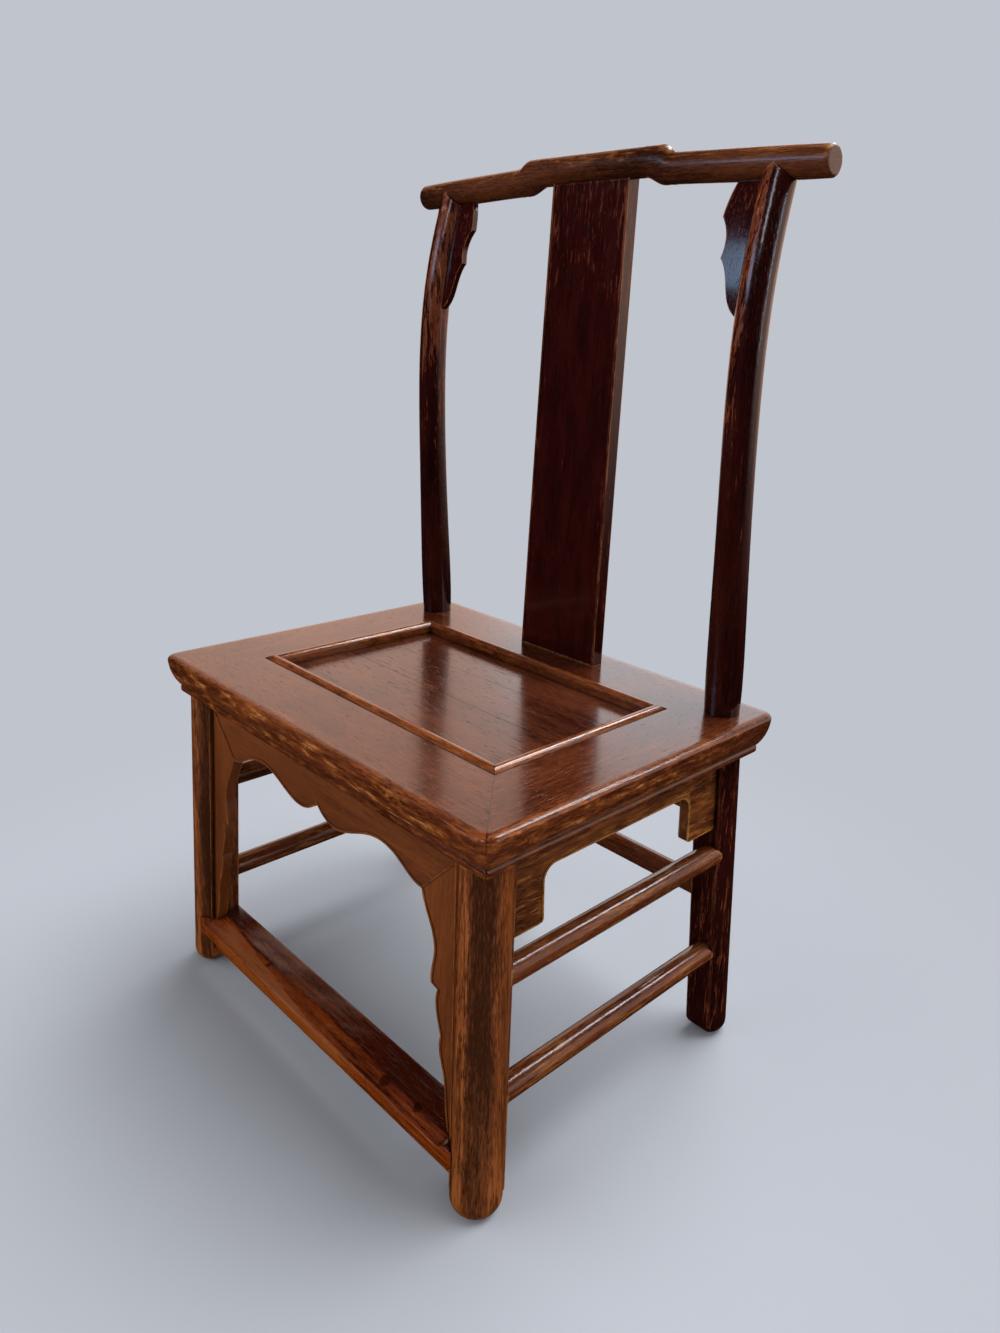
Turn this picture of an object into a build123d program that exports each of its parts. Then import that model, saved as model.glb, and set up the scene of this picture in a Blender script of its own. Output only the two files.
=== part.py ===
from build123d import *
import os
from math import cos, radians, sqrt

# Yoke-back side chair: separate wooden members held by mortises, tenons and grooves.
# Millimetres. The floor is z = 0, the chair faces -Y and x = 0 is its left-right middle.
# Right-hand members (x > 0) are modelled, and the left-hand ones are their mirror images.

# ---- Driving dimensions ----
FIT = 0.15                      # clearance on each side of a tenon, tongue, bore or peg

SEAT_WIDTH = 500.0
SEAT_DEPTH = 365.0
SEAT_HEIGHT = 357.0             # floor to the flat top of the seat frame
SEAT_THICKNESS = 40.0

RAIL_WIDTH = 87.5               # plan width of a seat rail, its inner bead included
BEAD_WIDTH = 14.0               # raised bead round the seat panel
BEAD_RISE = 3.0
QUIRK = 1.2                     # small grooves beside the beads
TOP_ROUND = 3.0                 # rounded top edge of the seat
EDGE_INSET = 12.0               # how far the moulding steps in at the underside
EDGE_ARRIS = 2.5                # width of the arris between the ovolo and the base bead
BASE_BEAD = 8.0
BASE_BULGE = 1.9                # how far the base bead stands out
SEAT_CORNER = 5.0               # corners of the seat and of its base bead, in plan
RAIL_TENON_WIDTH = 15.0         # tenons of the front and back rails, through the side rails
RAIL_TENON_THICKNESS = 13.0
FRONT_TENON_INSET = 33.5        # from the front rail's outer edge
TENON_SPACING = 3.0             # wood left between a rail tenon and the joint next to it

PANEL_DROP = 8.5                # panel top below the frame top
PANEL_THICKNESS = 8.0
PANEL_TONGUE = 5.0              # tongue thickness
PANEL_GROOVE = 7.0              # groove depth in the rails
PANEL_PLAY = 0.6                # room for the boards to swell
BOARD_GAP = 0.5
FRONT_JOINT = -15.0             # board joint, from the middle of the seat
REAR_JOINT_LEFT = 34.5          # the rear board is sawn tapered
REAR_JOINT_RIGHT = 49.5
BATTEN_SPREAD = 75.0            # each batten from the middle of the seat
BATTEN_WIDTH = 26.0
BATTEN_HEIGHT = 13.0
BATTEN_NECK = 18.0              # dovetail, narrow at the batten and wide in the boards
DOVETAIL_DEPTH = 2.5
DOVETAIL_FLARE = 1.5
BATTEN_TENON = 10.0

FRONT_LEG_RADIUS = 22.0         # legs are round outside and square inside
FRONT_LEG_FLAT = 18.0           # axis to each inner flat
FRONT_LEG_INSET_X = 36.5        # seat edge to the leg axis, at the seat's underside
FRONT_LEG_INSET_Y = 34.0
REAR_LEG_RADIUS = 19.5
REAR_LEG_FLAT = 15.5
REAR_LEG_INSET = 36.0
SPLAY_SIDE = 12.0               # how far each foot stands out beyond the leg's head
SPLAY_FRONT = 12.5
SPLAY_REAR = 13.0
ARRIS_BEAD = 1.4                # radius of the bead along each leg arris
FOOT_ROUND = 13.0
LEG_TENON = 16.0
LEG_TENON_HEIGHT = 14.0

POST_SEAT_RADIUS = 16.5         # rear posts where they pass through the seat
POST_HEIGHT = 456.0             # seat top to the crest's underside at the posts
POST_TOP_INSET = 7.5            # how far the posts lean in at the top
POST_INSET_POWER = 1.5          # they lean in mostly near the top
POST_TOP_RADIUS = 14.6
POST_MID_RADIUS = 14.9
POST_WAIST = 0.6                # share of the post height where it is down to that radius
POST_CURVE = (                  # share of the post height, and set-back from the rear leg's head
    (0.0, -1.5),
    (0.31, -9.0),
    (0.60, -14.0),
    (0.74, -12.0),
    (0.86, -5.0),
    (1.0, 10.5),
)
POST_RUN_ON = (1.045, 16.5)     # where the post's curve runs on to, inside the crest
POST_TOP_SLOPE = 1 / 3          # run of the curve for its rise, near the crest
SHOULDER_RISE = 11.5            # pointed shoulder of the post on the crest
SHOULDER_LAP = 3.0              # how deep that shoulder is let into the crest
POST_TENON = 12.0
POST_TENON_HEIGHT = 21.0

CREST_LENGTH = 505.0
CREST_RADIUS = 13.0
CREST_END_RADIUS = 12.3
CREST_DIP = 5.5                 # the arms droop from the shoulders to the ends
CREST_RISE = 7.3                # raised middle above the arms
CREST_TOP_STEP = (83.0, 99.0)   # where the top edge steps down
CREST_BOTTOM_STEP = (64.0, 87.0)
CREST_SET_BACK = 2.0            # crest axis behind the posts' top
CREST_LET_DOWN = 0.8            # how far the crest sits down over the posts' shoulders
CREST_RIM = 3.0
STEP_STATIONS = 8

SPLAT_FOOT_HALF = 54.0
SPLAT_HEAD_HALF = 49.0
SPLAT_THICKNESS = 12.5
SPLAT_SETBACK = 43.5            # splat face ahead of the seat's back edge
SPLAT_LEAN = 15.5
SPLAT_BOW = 0.7
SPLAT_TONGUE = 7.0
SPLAT_TONGUE_DEPTH = 9.0
SPLAT_EDGE_BEAD = 2.5

SPANDREL_THICKNESS = 6.5
SPANDREL_LET_IN = 4.0           # how deep the spandrels are housed in post and crest
SPANDREL_TIP = (                # (in from the post axis, down from the crest) to the first tip
    (37.5, 0.0),
    (41.5, 12.0),
    (44.0, 27.0),
)
SPANDREL_WAIST = (
    (44.0, 27.0),
    (37.0, 40.0),
    (37.5, 60.0),
)
SPANDREL_TAIL = (
    (37.5, 60.0),
    (30.0, 73.0),
    (25.0, 90.0),
    (12.0, 107.0),
)

BOARD_THICKNESS = 10.0          # aprons and side pieces
BOARD_TONGUE = 5.0
BOARD_TONGUE_DEPTH = 5.0
EDGE_BEAD_WIDTH = 2.2           # fine bead along the cut edges
EDGE_BEAD_RISE = 0.8
FRONT_APRON_SET = 10.0          # apron face ahead of the leg axis
FRONT_APRON_DROP = 51.0
FRONT_CORNER_WIDTH = 43.0       # mitred corner, from the leg's flat
FRONT_APRON_WAVE = (            # share of the half span, and rise above the corner
    (0.0, 13.0),
    (0.07, 4.5),
    (0.18, 0.0),
    (0.31, 3.5),
    (0.48, 13.5),
    (0.64, 17.5),
    (0.80, 11.0),
    (0.92, 2.0),
    (1.0, 0.0),
)
SIDE_PIECE_LEAF = (             # share of the side piece's height, and its width at the leg
    (0.07, 40.0),
    (0.14, 32.5),
    (0.24, 28.5),
    (0.33, 32.0),
    (0.38, 32.0),
)
SIDE_PIECE_CURL = (
    (0.39, 23.5),
    (0.46, 25.5),
    (0.53, 22.5),
    (0.59, 19.0),
)
SIDE_PIECE_TAIL = (
    (0.59, 19.0),
    (0.66, 20.0),
    (0.75, 14.5),
    (0.87, 11.5),
    (1.0, 7.5),
)
SIDE_APRON_SET = 9.5
SIDE_APRON_DROP = 25.0
BRACKET_DROP = 74.0
FRONT_BRACKET_WIDTH = 33.5
REAR_BRACKET_WIDTH = 41.5
BRACKET_HOLLOW = 13.0
BRACKET_CORNER = 5.0

RUNG_DIAMETER = 22.0
RUNG_TENON_DIAMETER = 12.0
RUNG_TENON_REACH = 4.0          # beyond the leg's axis
UPPER_RUNG_DROP = 19.5          # gap under the side brackets
UPPER_RUNG_OFFSET = 5.5         # outward from the leg's axis
LOWER_RUNG_HEIGHT = 101.0
LOWER_RUNG_OFFSET = 2.8
REAR_RUNG_DROP = 51.5           # rear stretcher below the upper side ones

FOOTREST_HEIGHT = 61.5
FOOTREST_THICKNESS = 20.0
FOOTREST_DEPTH = 43.5
FOOTREST_END_INSET = 6.2        # from the leg axis to the footrest's end
FOOTREST_FRONT = 23.5           # footrest edge ahead of the leg axis
FOOTREST_CORNER = 5.0
FOOTREST_WEAR_DEPTH = 18.0      # hollow worn in the front edge
FOOTREST_WEAR_DROP = 7.0
FOOTREST_EDGE = 3.0
FOOTREST_CHAMFER = 2.0          # width of the unworn front edge's chamfer, half as deep
FOOTREST_TENON_WIDTH = 20.0
FOOTREST_TENON_THICKNESS = 10.0
FOOTREST_TENON_LENGTH = 14.0
STRIP_HEIGHT = 19.0
STRIP_THICKNESS = 8.0
STRIP_SET_BACK = 12.0

PEG_DIAMETER = 5.0
CREST_PEG_DIAMETER = 4.0
CREST_PEG_RISE = 4.0

# ---- Derived levels ----
SEAT_UNDERSIDE = SEAT_HEIGHT - SEAT_THICKNESS
PANEL_TOP = SEAT_HEIGHT - PANEL_DROP
POST_TOP = SEAT_HEIGHT + POST_HEIGHT
RAIL_TENON_BASE = SEAT_UNDERSIDE + LEG_TENON_HEIGHT + TENON_SPACING
REAR_TENON_INSET = REAR_LEG_INSET + POST_SEAT_RADIUS + TENON_SPACING
FAR = 2.0 * (SEAT_WIDTH + SEAT_DEPTH)
UPPER_RUNG_HEIGHT = SEAT_UNDERSIDE - BRACKET_DROP - UPPER_RUNG_DROP - RUNG_DIAMETER / 2
REAR_RUNG_HEIGHT = UPPER_RUNG_HEIGHT - REAR_RUNG_DROP


# ---- Helpers ----
def block(x, y, z):
    """A box between the two limits given for each axis."""
    size = Box(x[1] - x[0], y[1] - y[0], z[1] - z[0])
    return Pos((x[0] + x[1]) / 2, (y[0] + y[1]) / 2, (z[0] + z[1]) / 2) * size


def bar(start, end, diameter):
    """A round bar between two points."""
    along = end - start
    return extrude(Plane(origin=start, z_dir=along) * Circle(diameter / 2), amount=along.length)


def leaning(section, foot, head):
    """A horizontal section carried from the foot point to the head point."""
    along = head - foot
    return extrude(Pos(foot) * section, amount=along.length, dir=along)


def front_prism(outline):
    """An outline drawn in x and z, carried right through the chair along y."""
    return extrude(Plane.XZ * outline, amount=FAR, both=True)


def side_prism(outline):
    """An outline drawn in y and z, carried right through the chair along x."""
    return extrude(Plane.YZ * outline, amount=FAR, both=True)


def mirrored(solid):
    """The left-hand twin of a right-hand member."""
    return mirror(solid, about=Plane.YZ)


def smooth_step(value, start, end):
    """0 before start, 1 after end, and an easy curve between them."""
    share = min(max((value - start) / (end - start), 0.0), 1.0)
    return share * share * (3.0 - 2.0 * share)


# ---- Leg and post centre lines, right-hand side ----
def front_axis(z):
    """The front leg's axis at height z."""
    drop = 1.0 - z / SEAT_UNDERSIDE
    x = SEAT_WIDTH / 2 - FRONT_LEG_INSET_X + SPLAY_SIDE * drop
    y = -SEAT_DEPTH / 2 + FRONT_LEG_INSET_Y - SPLAY_FRONT * drop
    return Vector(x, y, z)


def rear_axis(z):
    """The rear leg's axis at height z, up to the seat top."""
    drop = 1.0 - z / SEAT_UNDERSIDE
    x = SEAT_WIDTH / 2 - REAR_LEG_INSET + SPLAY_SIDE * drop
    y = SEAT_DEPTH / 2 - REAR_LEG_INSET + SPLAY_REAR * drop
    return Vector(x, y, z)


def post_point(share, set_back):
    """A point of the post's curved axis above the seat."""
    head = rear_axis(SEAT_UNDERSIDE)
    x = rear_axis(SEAT_HEIGHT).X - POST_TOP_INSET * share**POST_INSET_POWER
    return Vector(x, head.Y + set_back, SEAT_HEIGHT + POST_HEIGHT * share)


def post_radius(share):
    """The post tapers from the seat to mid height and stays slim above it."""
    taper = smooth_step(share, 0.0, POST_WAIST)
    waist = POST_SEAT_RADIUS + (POST_MID_RADIUS - POST_SEAT_RADIUS) * taper
    return waist + (POST_TOP_RADIUS - POST_MID_RADIUS) * smooth_step(share, POST_WAIST, 1.0)


POST_HEAD = post_point(*POST_CURVE[-1])
CREST_Y = POST_HEAD.Y + CREST_SET_BACK


# ---- Seat frame ----
def rail_section():
    """Rail cross-section: x runs inwards from the outer edge and y is the height."""
    top, bottom = SEAT_HEIGHT, SEAT_UNDERSIDE
    base = bottom + BASE_BEAD
    arris = EDGE_INSET - EDGE_ARRIS
    bead = RAIL_WIDTH - BEAD_WIDTH
    groove = RAIL_WIDTH - PANEL_GROOVE
    tongue = PANEL_TOP - PANEL_TONGUE
    turn = TOP_ROUND * (1.0 - cos(radians(45)))
    lines = (
        Line((bead, top), (TOP_ROUND, top))
        + ThreePointArc((TOP_ROUND, top), (turn, top - turn), (0, top - TOP_ROUND))
        + TangentArc((0, top - TOP_ROUND), (arris, base + QUIRK), tangent=(0, -1))
        + Polyline((arris, base + QUIRK), (EDGE_INSET, base + QUIRK / 2), (EDGE_INSET, base))
        + ThreePointArc((EDGE_INSET, base), (EDGE_INSET - BASE_BULGE, base - BASE_BEAD / 2),
                        (EDGE_INSET, bottom))
        + Polyline((EDGE_INSET, bottom), (RAIL_WIDTH, bottom), (RAIL_WIDTH, tongue), (groove, tongue),
                   (groove, PANEL_TOP), (RAIL_WIDTH, PANEL_TOP), (RAIL_WIDTH, top - BEAD_RISE / 2))
        + ThreePointArc((RAIL_WIDTH, top - BEAD_RISE / 2), (RAIL_WIDTH - BEAD_WIDTH / 2, top + BEAD_RISE),
                        (bead + 2 * QUIRK, top))
        + Polyline((bead + 2 * QUIRK, top), (bead + QUIRK, top - QUIRK), (bead, top))
    )
    return make_face(lines)


def rail_bar(length, reach):
    """A moulded bar along X with square ends, its outer edge at y = -reach."""
    return extrude(Plane.YZ * (Pos(-reach, 0) * rail_section()), amount=length / 2, both=True)


def rail(length, reach):
    """A seat rail along X, mitred at both ends."""
    outer, inner = length / 2, length / 2 - RAIL_WIDTH
    mitre = Polygon((-outer, -reach), (outer, -reach), (inner, RAIL_WIDTH - reach),
                    (-inner, RAIL_WIDTH - reach), align=None)
    lip = 2 * (EDGE_INSET - BASE_BULGE)
    edge = extrude(RectangleRounded(length, 2 * reach, SEAT_CORNER), amount=FAR)
    base = Pos(0, 0, SEAT_UNDERSIDE) * extrude(RectangleRounded(length - lip, 2 * reach - lip, SEAT_CORNER),
                                               amount=BASE_BEAD)
    upper = block((-FAR, FAR), (-FAR, FAR), (SEAT_UNDERSIDE + BASE_BEAD, FAR))
    return rail_bar(length, reach) & extrude(mitre, amount=FAR) & edge & (upper + base)


def rail_tenon(inset, grow=0.0):
    """The right-hand tenon of the front rail, inset from the rail's outer edge."""
    near = -SEAT_DEPTH / 2 + inset
    return block((SEAT_WIDTH / 2 - RAIL_WIDTH, SEAT_WIDTH / 2 + grow),
                 (near - grow, near + RAIL_TENON_WIDTH + grow),
                 (RAIL_TENON_BASE - grow, RAIL_TENON_BASE + RAIL_TENON_THICKNESS + grow))


def end_rail(inset):
    """The front rail with a through tenon at each end, cut flush with the moulded side."""
    side_bar = Rot(Z=90) * rail_bar(SEAT_DEPTH, SEAT_WIDTH / 2)
    tenon = rail_tenon(inset) & side_bar
    return rail(SEAT_WIDTH, SEAT_DEPTH / 2) + tenon + mirrored(tenon)


def side_rail():
    """The right-hand rail with its two mortises."""
    solid = Rot(Z=90) * rail(SEAT_DEPTH, SEAT_WIDTH / 2)
    rear_mortise = mirror(rail_tenon(REAR_TENON_INSET, FIT), about=Plane.XZ)
    return solid - rail_tenon(FRONT_TENON_INSET, FIT) - rear_mortise


# ---- Seat panel and battens ----
def panel_board(front_edge, back_edge):
    """A board between two edges, each given as its y at the left and at the right."""
    half_x = SEAT_WIDTH / 2 - RAIL_WIDTH
    half_y = SEAT_DEPTH / 2 - RAIL_WIDTH
    reach = half_x + PANEL_GROOVE - PANEL_PLAY
    cut = Polygon((-FAR, front_edge[0]), (FAR, front_edge[1]), (FAR, back_edge[1]),
                  (-FAR, back_edge[0]), align=None)
    lap = half_y + PANEL_GROOVE - PANEL_PLAY
    upper = block((-reach, reach), (-lap, lap), (PANEL_TOP - PANEL_TONGUE + FIT, PANEL_TOP - FIT))
    lower = block((PANEL_PLAY - half_x, half_x - PANEL_PLAY), (PANEL_PLAY - half_y, half_y - PANEL_PLAY),
                  (PANEL_TOP - PANEL_THICKNESS, PANEL_TOP - PANEL_TONGUE + 2 * FIT))
    return (upper + lower) & extrude(cut, amount=FAR)


def slanted(left, right):
    """A joint line's y at x = -FAR and x = FAR, from its y at the panel's two sides."""
    half = SEAT_WIDTH / 2 - RAIL_WIDTH
    middle, slope = (left + right) / 2, (right - left) / (2 * half)
    return middle - slope * FAR, middle + slope * FAR


def batten_dovetail(grow=0.0):
    """The dovetail on the right-hand batten, seen from the front."""
    under = PANEL_TOP - PANEL_THICKNESS
    crown = under + DOVETAIL_DEPTH + grow
    neck, flare = BATTEN_NECK / 2 + grow, BATTEN_NECK / 2 + DOVETAIL_FLARE + grow
    return Polygon((BATTEN_SPREAD - neck, under - QUIRK), (BATTEN_SPREAD + neck, under - QUIRK),
                   (BATTEN_SPREAD + flare, crown), (BATTEN_SPREAD - flare, crown), align=None)


def batten():
    """The right-hand batten: dovetailed into the boards, tenoned into front and back rails."""
    under = PANEL_TOP - PANEL_THICKNESS
    half = SEAT_DEPTH / 2 - RAIL_WIDTH
    spine = extrude(Plane.XZ * batten_dovetail(), amount=half - PANEL_PLAY, both=True)
    body = block((BATTEN_SPREAD - BATTEN_WIDTH / 2, BATTEN_SPREAD + BATTEN_WIDTH / 2),
                 (-half, half), (under - BATTEN_HEIGHT, under))
    return body + spine + batten_tenon()


def batten_tenon(grow=0.0):
    """The tenon that runs into the front and back rails."""
    under = PANEL_TOP - PANEL_THICKNESS
    reach = SEAT_DEPTH / 2 - RAIL_WIDTH + BATTEN_TENON + grow
    width = BATTEN_NECK / 2 + grow
    return block((BATTEN_SPREAD - width, BATTEN_SPREAD + width), (-reach, reach),
                 (under - BATTEN_HEIGHT - grow + QUIRK, under - QUIRK + grow))


# ---- Legs and posts ----
def leg_section(radius, flat):
    """Round outside and square inside, with flats at x = -flat and y = +flat."""
    arris = sqrt(radius**2 - flat**2)
    outer = radius * cos(radians(45))
    inside = Polyline((-flat, -arris), (-flat, flat), (arris, flat))
    return make_face(inside + ThreePointArc((arris, flat), (outer, -outer), (-flat, -arris)))


def leg(radius, flat, foot, head, turn):
    """A splayed leg with a rounded foot and a bead along both arrises."""
    shaft = leaning(Rot(Z=turn) * leg_section(radius, flat), foot, head)
    shaft = fillet(shaft.faces().sort_by(Axis.Z)[0].edges(), FOOT_ROUND)
    arris = sqrt(radius**2 - flat**2)
    start = foot + (head - foot) * (FOOT_ROUND / (head - foot).Z)
    for corner in ((-flat, -arris), (arris, flat)):
        shaft += leaning(Rot(Z=turn) * (Pos(*corner) * Circle(ARRIS_BEAD)), start, head)
    return shaft


def front_leg_tenon(grow=0.0):
    """The square tenon on the front leg's head."""
    head = front_axis(SEAT_UNDERSIDE)
    half = LEG_TENON / 2 + grow
    return block((head.X - half, head.X + half), (head.Y - half, head.Y + half),
                 (SEAT_UNDERSIDE - QUIRK, SEAT_UNDERSIDE + LEG_TENON_HEIGHT + grow))


def front_leg():
    """The right front leg."""
    shaft = leg(FRONT_LEG_RADIUS, FRONT_LEG_FLAT, front_axis(0), front_axis(SEAT_UNDERSIDE), 0)
    return shaft + front_leg_tenon()


def post_neck(grow=0.0):
    """The round length of the rear post that passes through the seat."""
    return leaning(Circle(POST_SEAT_RADIUS + grow), rear_axis(SEAT_UNDERSIDE), post_point(*POST_CURVE[0]))


def post_tenon(grow=0.0):
    """The square tenon on the post's head, inside the crest rail."""
    half = POST_TENON / 2 + grow
    return block((POST_HEAD.X - half, POST_HEAD.X + half), (CREST_Y - half, CREST_Y + half),
                 (POST_TOP - QUIRK, POST_TOP + POST_TENON_HEIGHT + grow))


def crest_core(grow=0.0):
    """The round core that the crest keeps between the post's pointed shoulders."""
    middle = Vector(POST_HEAD.X, CREST_Y, crest_axis_height(POST_HEAD.X))
    half = Vector(2 * POST_TOP_RADIUS, 0, 0)
    return bar(middle - half, middle + half, 2 * (CREST_RADIUS - SHOULDER_LAP + grow))


def shoulder_line(grow=0.0):
    """The pointed shoulder seen from the front: its left end, tip and right end."""
    reach = POST_TOP_RADIUS + QUIRK
    foot = POST_TOP - SHOULDER_RISE * QUIRK / POST_TOP_RADIUS
    return ((POST_HEAD.X - reach - grow, foot), (POST_HEAD.X, POST_TOP + SHOULDER_RISE + grow),
            (POST_HEAD.X + reach + grow, foot))


def rear_post():
    """The right rear leg and post, one piece from the floor to the crest."""
    shaft = leg(REAR_LEG_RADIUS, REAR_LEG_FLAT, rear_axis(0), rear_axis(SEAT_UNDERSIDE), 90)
    rings = []
    for share, set_back in POST_CURVE:
        rings.append(Pos(post_point(share, set_back)) * Circle(post_radius(share)))
    rings.append(Pos(post_point(*POST_RUN_ON)) * Circle(POST_TOP_RADIUS))
    left, tip, right = shoulder_line()
    crown = POST_TOP + POST_HEIGHT
    above = Polygon(left, tip, right, (right[0], crown), (left[0], crown), align=None)
    upper = loft(rings) - front_prism(above) - crest_core(FIT)
    return shaft + post_neck() + upper + post_tenon()


# ---- Crest rail ----
def crest_axis_height(x):
    """Height of the crest arm's axis at x."""
    half, step = CREST_LENGTH / 2, CREST_TOP_STEP[1]
    at_post = POST_TOP + CREST_RADIUS - CREST_LET_DOWN
    slope = CREST_DIP / (half - step)
    return at_post + slope * (POST_HEAD.X - abs(x))


def crest_ring(x):
    """The crest's section at x: round on the arms, taller where it steps up."""
    end = smooth_step(abs(x), POST_HEAD.X, CREST_LENGTH / 2)
    radius = CREST_RADIUS + (CREST_END_RADIUS - CREST_RADIUS) * end
    axis = crest_axis_height(max(abs(x), CREST_TOP_STEP[1]))
    top = axis + radius + CREST_RISE * (1.0 - smooth_step(abs(x), *CREST_TOP_STEP))
    bottom = axis - radius + CREST_RISE * (1.0 - smooth_step(abs(x), *CREST_BOTTOM_STEP))
    plane = Plane(origin=(x, CREST_Y, (top + bottom) / 2), x_dir=(0, 1, 0), z_dir=(1, 0, 0))
    return plane * Ellipse(radius, (top - bottom) / 2)


def crest_rail():
    """The yoke: two drooping round arms and a raised middle."""
    half, outer, inner = CREST_LENGTH / 2, CREST_TOP_STEP[1], CREST_BOTTOM_STEP[0]
    arm = loft([crest_ring(x) for x in (outer, (outer + POST_HEAD.X) / 2, POST_HEAD.X, half)])
    arm = fillet(arm.faces().sort_by(Axis.X)[-1].edges(), CREST_RIM)
    steps = [inner + (outer - inner) * step / STEP_STATIONS for step in range(STEP_STATIONS + 1)]
    rise = loft([crest_ring(x) for x in steps])
    middle = extrude(crest_ring(-inner), amount=2 * inner, dir=(1, 0, 0))
    return middle + rise + arm + mirrored(rise) + mirrored(arm)


def shoulder_notch():
    """What the crest loses to the right-hand post's shoulders."""
    left, tip, right = shoulder_line(FIT)
    low = POST_TOP - 2 * SHOULDER_LAP
    return front_prism(Polygon(left, tip, right, (right[0], low), (left[0], low), align=None)) - crest_core()


# ---- Splat ----
def splat_face(height):
    """The y of the splat's front face at a height above the seat."""
    share = height / (POST_HEIGHT + CREST_RISE)
    bow = SPLAT_BOW * ((2.0 * share - 1.0)**2 - 1.0)
    return SEAT_DEPTH / 2 - SPLAT_SETBACK + SPLAT_LEAN * share + bow


def splat_slab(front, back, low, high):
    """A curved slab between two offsets from the splat's face and two heights over the seat."""
    middle = (low + high) / 2
    spots = [(splat_face(level), SEAT_HEIGHT + level) for level in (low, middle, high)]
    near = [(y + front, z) for y, z in spots]
    far = [(y + back, z) for y, z in spots]
    outline = ThreePointArc(*near) + Line(near[2], far[2]) + ThreePointArc(*far) + Line(far[0], near[0])
    return side_prism(make_face(outline))


def splat_outline(margin, low, high):
    """The splat from the front, less a margin at both sides."""
    total = POST_HEIGHT + CREST_RISE
    foot = SPLAT_FOOT_HALF - margin
    head = SPLAT_HEAD_HALF - margin
    taper = (head - foot) / total
    return Polygon((-foot - taper * low, SEAT_HEIGHT + low), (foot + taper * low, SEAT_HEIGHT + low),
                   (foot + taper * high, SEAT_HEIGHT + high), (-foot - taper * high, SEAT_HEIGHT + high),
                   align=None)


def splat_tongue(grow=0.0):
    """The thin tongue that is housed in the back rail and in the crest."""
    total = POST_HEIGHT + CREST_RISE
    low, high = -SPLAT_TONGUE_DEPTH - grow, total + SPLAT_TONGUE_DEPTH + grow
    inset = (SPLAT_THICKNESS - SPLAT_TONGUE) / 2
    slab = splat_slab(inset - grow, inset + SPLAT_TONGUE + grow, low, high)
    return slab & front_prism(splat_outline(2 * SPLAT_EDGE_BEAD - grow, low, high))


def splat(crest):
    """The back splat, with a fine bead down both front edges."""
    total = POST_HEIGHT + CREST_RISE
    high = total + CREST_RADIUS / 2
    board = splat_slab(0, SPLAT_THICKNESS, 0, high) & front_prism(splat_outline(0, 0, high))
    field = splat_outline(SPLAT_EDGE_BEAD, 0, high)
    proud = splat_slab(-EDGE_BEAD_RISE, SPLAT_THICKNESS / 2, 0, high)
    bead = proud & front_prism(splat_outline(0, 0, high) - field)
    return (board + bead) - crest + splat_tongue()


# ---- Crest spandrels ----
def spandrel_outline(grow=0.0):
    """Carved outline from the front, housed in the post and the crest."""
    def place(points):
        return [(POST_HEAD.X - inward - grow, POST_TOP - down - grow) for inward, down in points]
    tip, waist, tail = place(SPANDREL_TIP), place(SPANDREL_WAIST), place(SPANDREL_TAIL)
    housed = POST_HEAD.X - POST_TOP_RADIUS + SPANDREL_LET_IN + grow
    crown = POST_TOP + SPANDREL_LET_IN + grow
    edge = (Spline(*tip) + Spline(*waist) + Spline(*tail)
            + Polyline(tail[-1], (housed, tail[-1][1]), (housed, crown), (tip[0][0], crown), tip[0]))
    return make_face(edge)


def post_slab(thickness):
    """A curved slab that follows the posts as seen from the side."""
    spots = [post_point(share, back) for share, back in POST_CURVE]
    near = [(spot.Y - thickness / 2, spot.Z) for spot in spots]
    far = [(spot.Y + thickness / 2, spot.Z) for spot in spots]
    rise = SPANDREL_LET_IN + CREST_RADIUS / 2
    run = rise * POST_TOP_SLOPE
    last = [(near[-1][0] + run, near[-1][1] + rise), (far[-1][0] + run, far[-1][1] + rise)]
    outline = (Spline(*near) + Line(near[-1], last[0]) + Line(last[0], last[1]) + Line(last[1], far[-1])
               + Spline(*far) + Line(far[0], near[0]))
    return side_prism(make_face(outline))


def spandrel(grow=0.0):
    """The right-hand spandrel between the post and the crest."""
    return front_prism(spandrel_outline(grow)) & post_slab(SPANDREL_THICKNESS + 2 * grow)


# ---- Aprons: boards that lean with the legs ----
def lean_slab(face, lean, front, back):
    """A slab whose face is at y = face under the seat and leans out by lean at the floor."""
    top = SEAT_UNDERSIDE + BOARD_TONGUE_DEPTH + FIT
    tilt = lean / SEAT_UNDERSIDE
    high = face + tilt * (top - SEAT_UNDERSIDE)
    low = face - lean
    return side_prism(Polygon((low + front, 0), (high + front, top), (high + back, top),
                              (low + back, 0), align=None))


def board(outline, bead, tongue, face, lean):
    """A leaning board with a raised edge bead and a thinner tongue round its hidden edges."""
    inset = (BOARD_THICKNESS - BOARD_TONGUE) / 2
    solid = front_prism(outline) & lean_slab(face, lean, 0, BOARD_THICKNESS)
    proud = front_prism(bead) & lean_slab(face, lean, -EDGE_BEAD_RISE, BOARD_THICKNESS / 2)
    key = front_prism(tongue) & lean_slab(face, lean, inset, inset + BOARD_TONGUE)
    return solid, proud, key


def tongue_groove(tongue, face, lean):
    """The groove for a board's tongue."""
    inset = (BOARD_THICKNESS - BOARD_TONGUE) / 2
    return front_prism(offset(tongue, amount=FIT, kind=Kind.INTERSECTION)) & lean_slab(face, lean, inset - FIT,
                                                               inset + BOARD_TONGUE + FIT)


def front_flat(z):
    """The x of the right front leg's inner flat at height z."""
    return front_axis(z).X - FRONT_LEG_FLAT


FRONT_FACE = front_axis(SEAT_UNDERSIDE).Y - FRONT_APRON_SET
CORNER_Z = SEAT_UNDERSIDE - FRONT_APRON_DROP
CORNER_X = front_flat(SEAT_UNDERSIDE) - FRONT_CORNER_WIDTH


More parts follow.
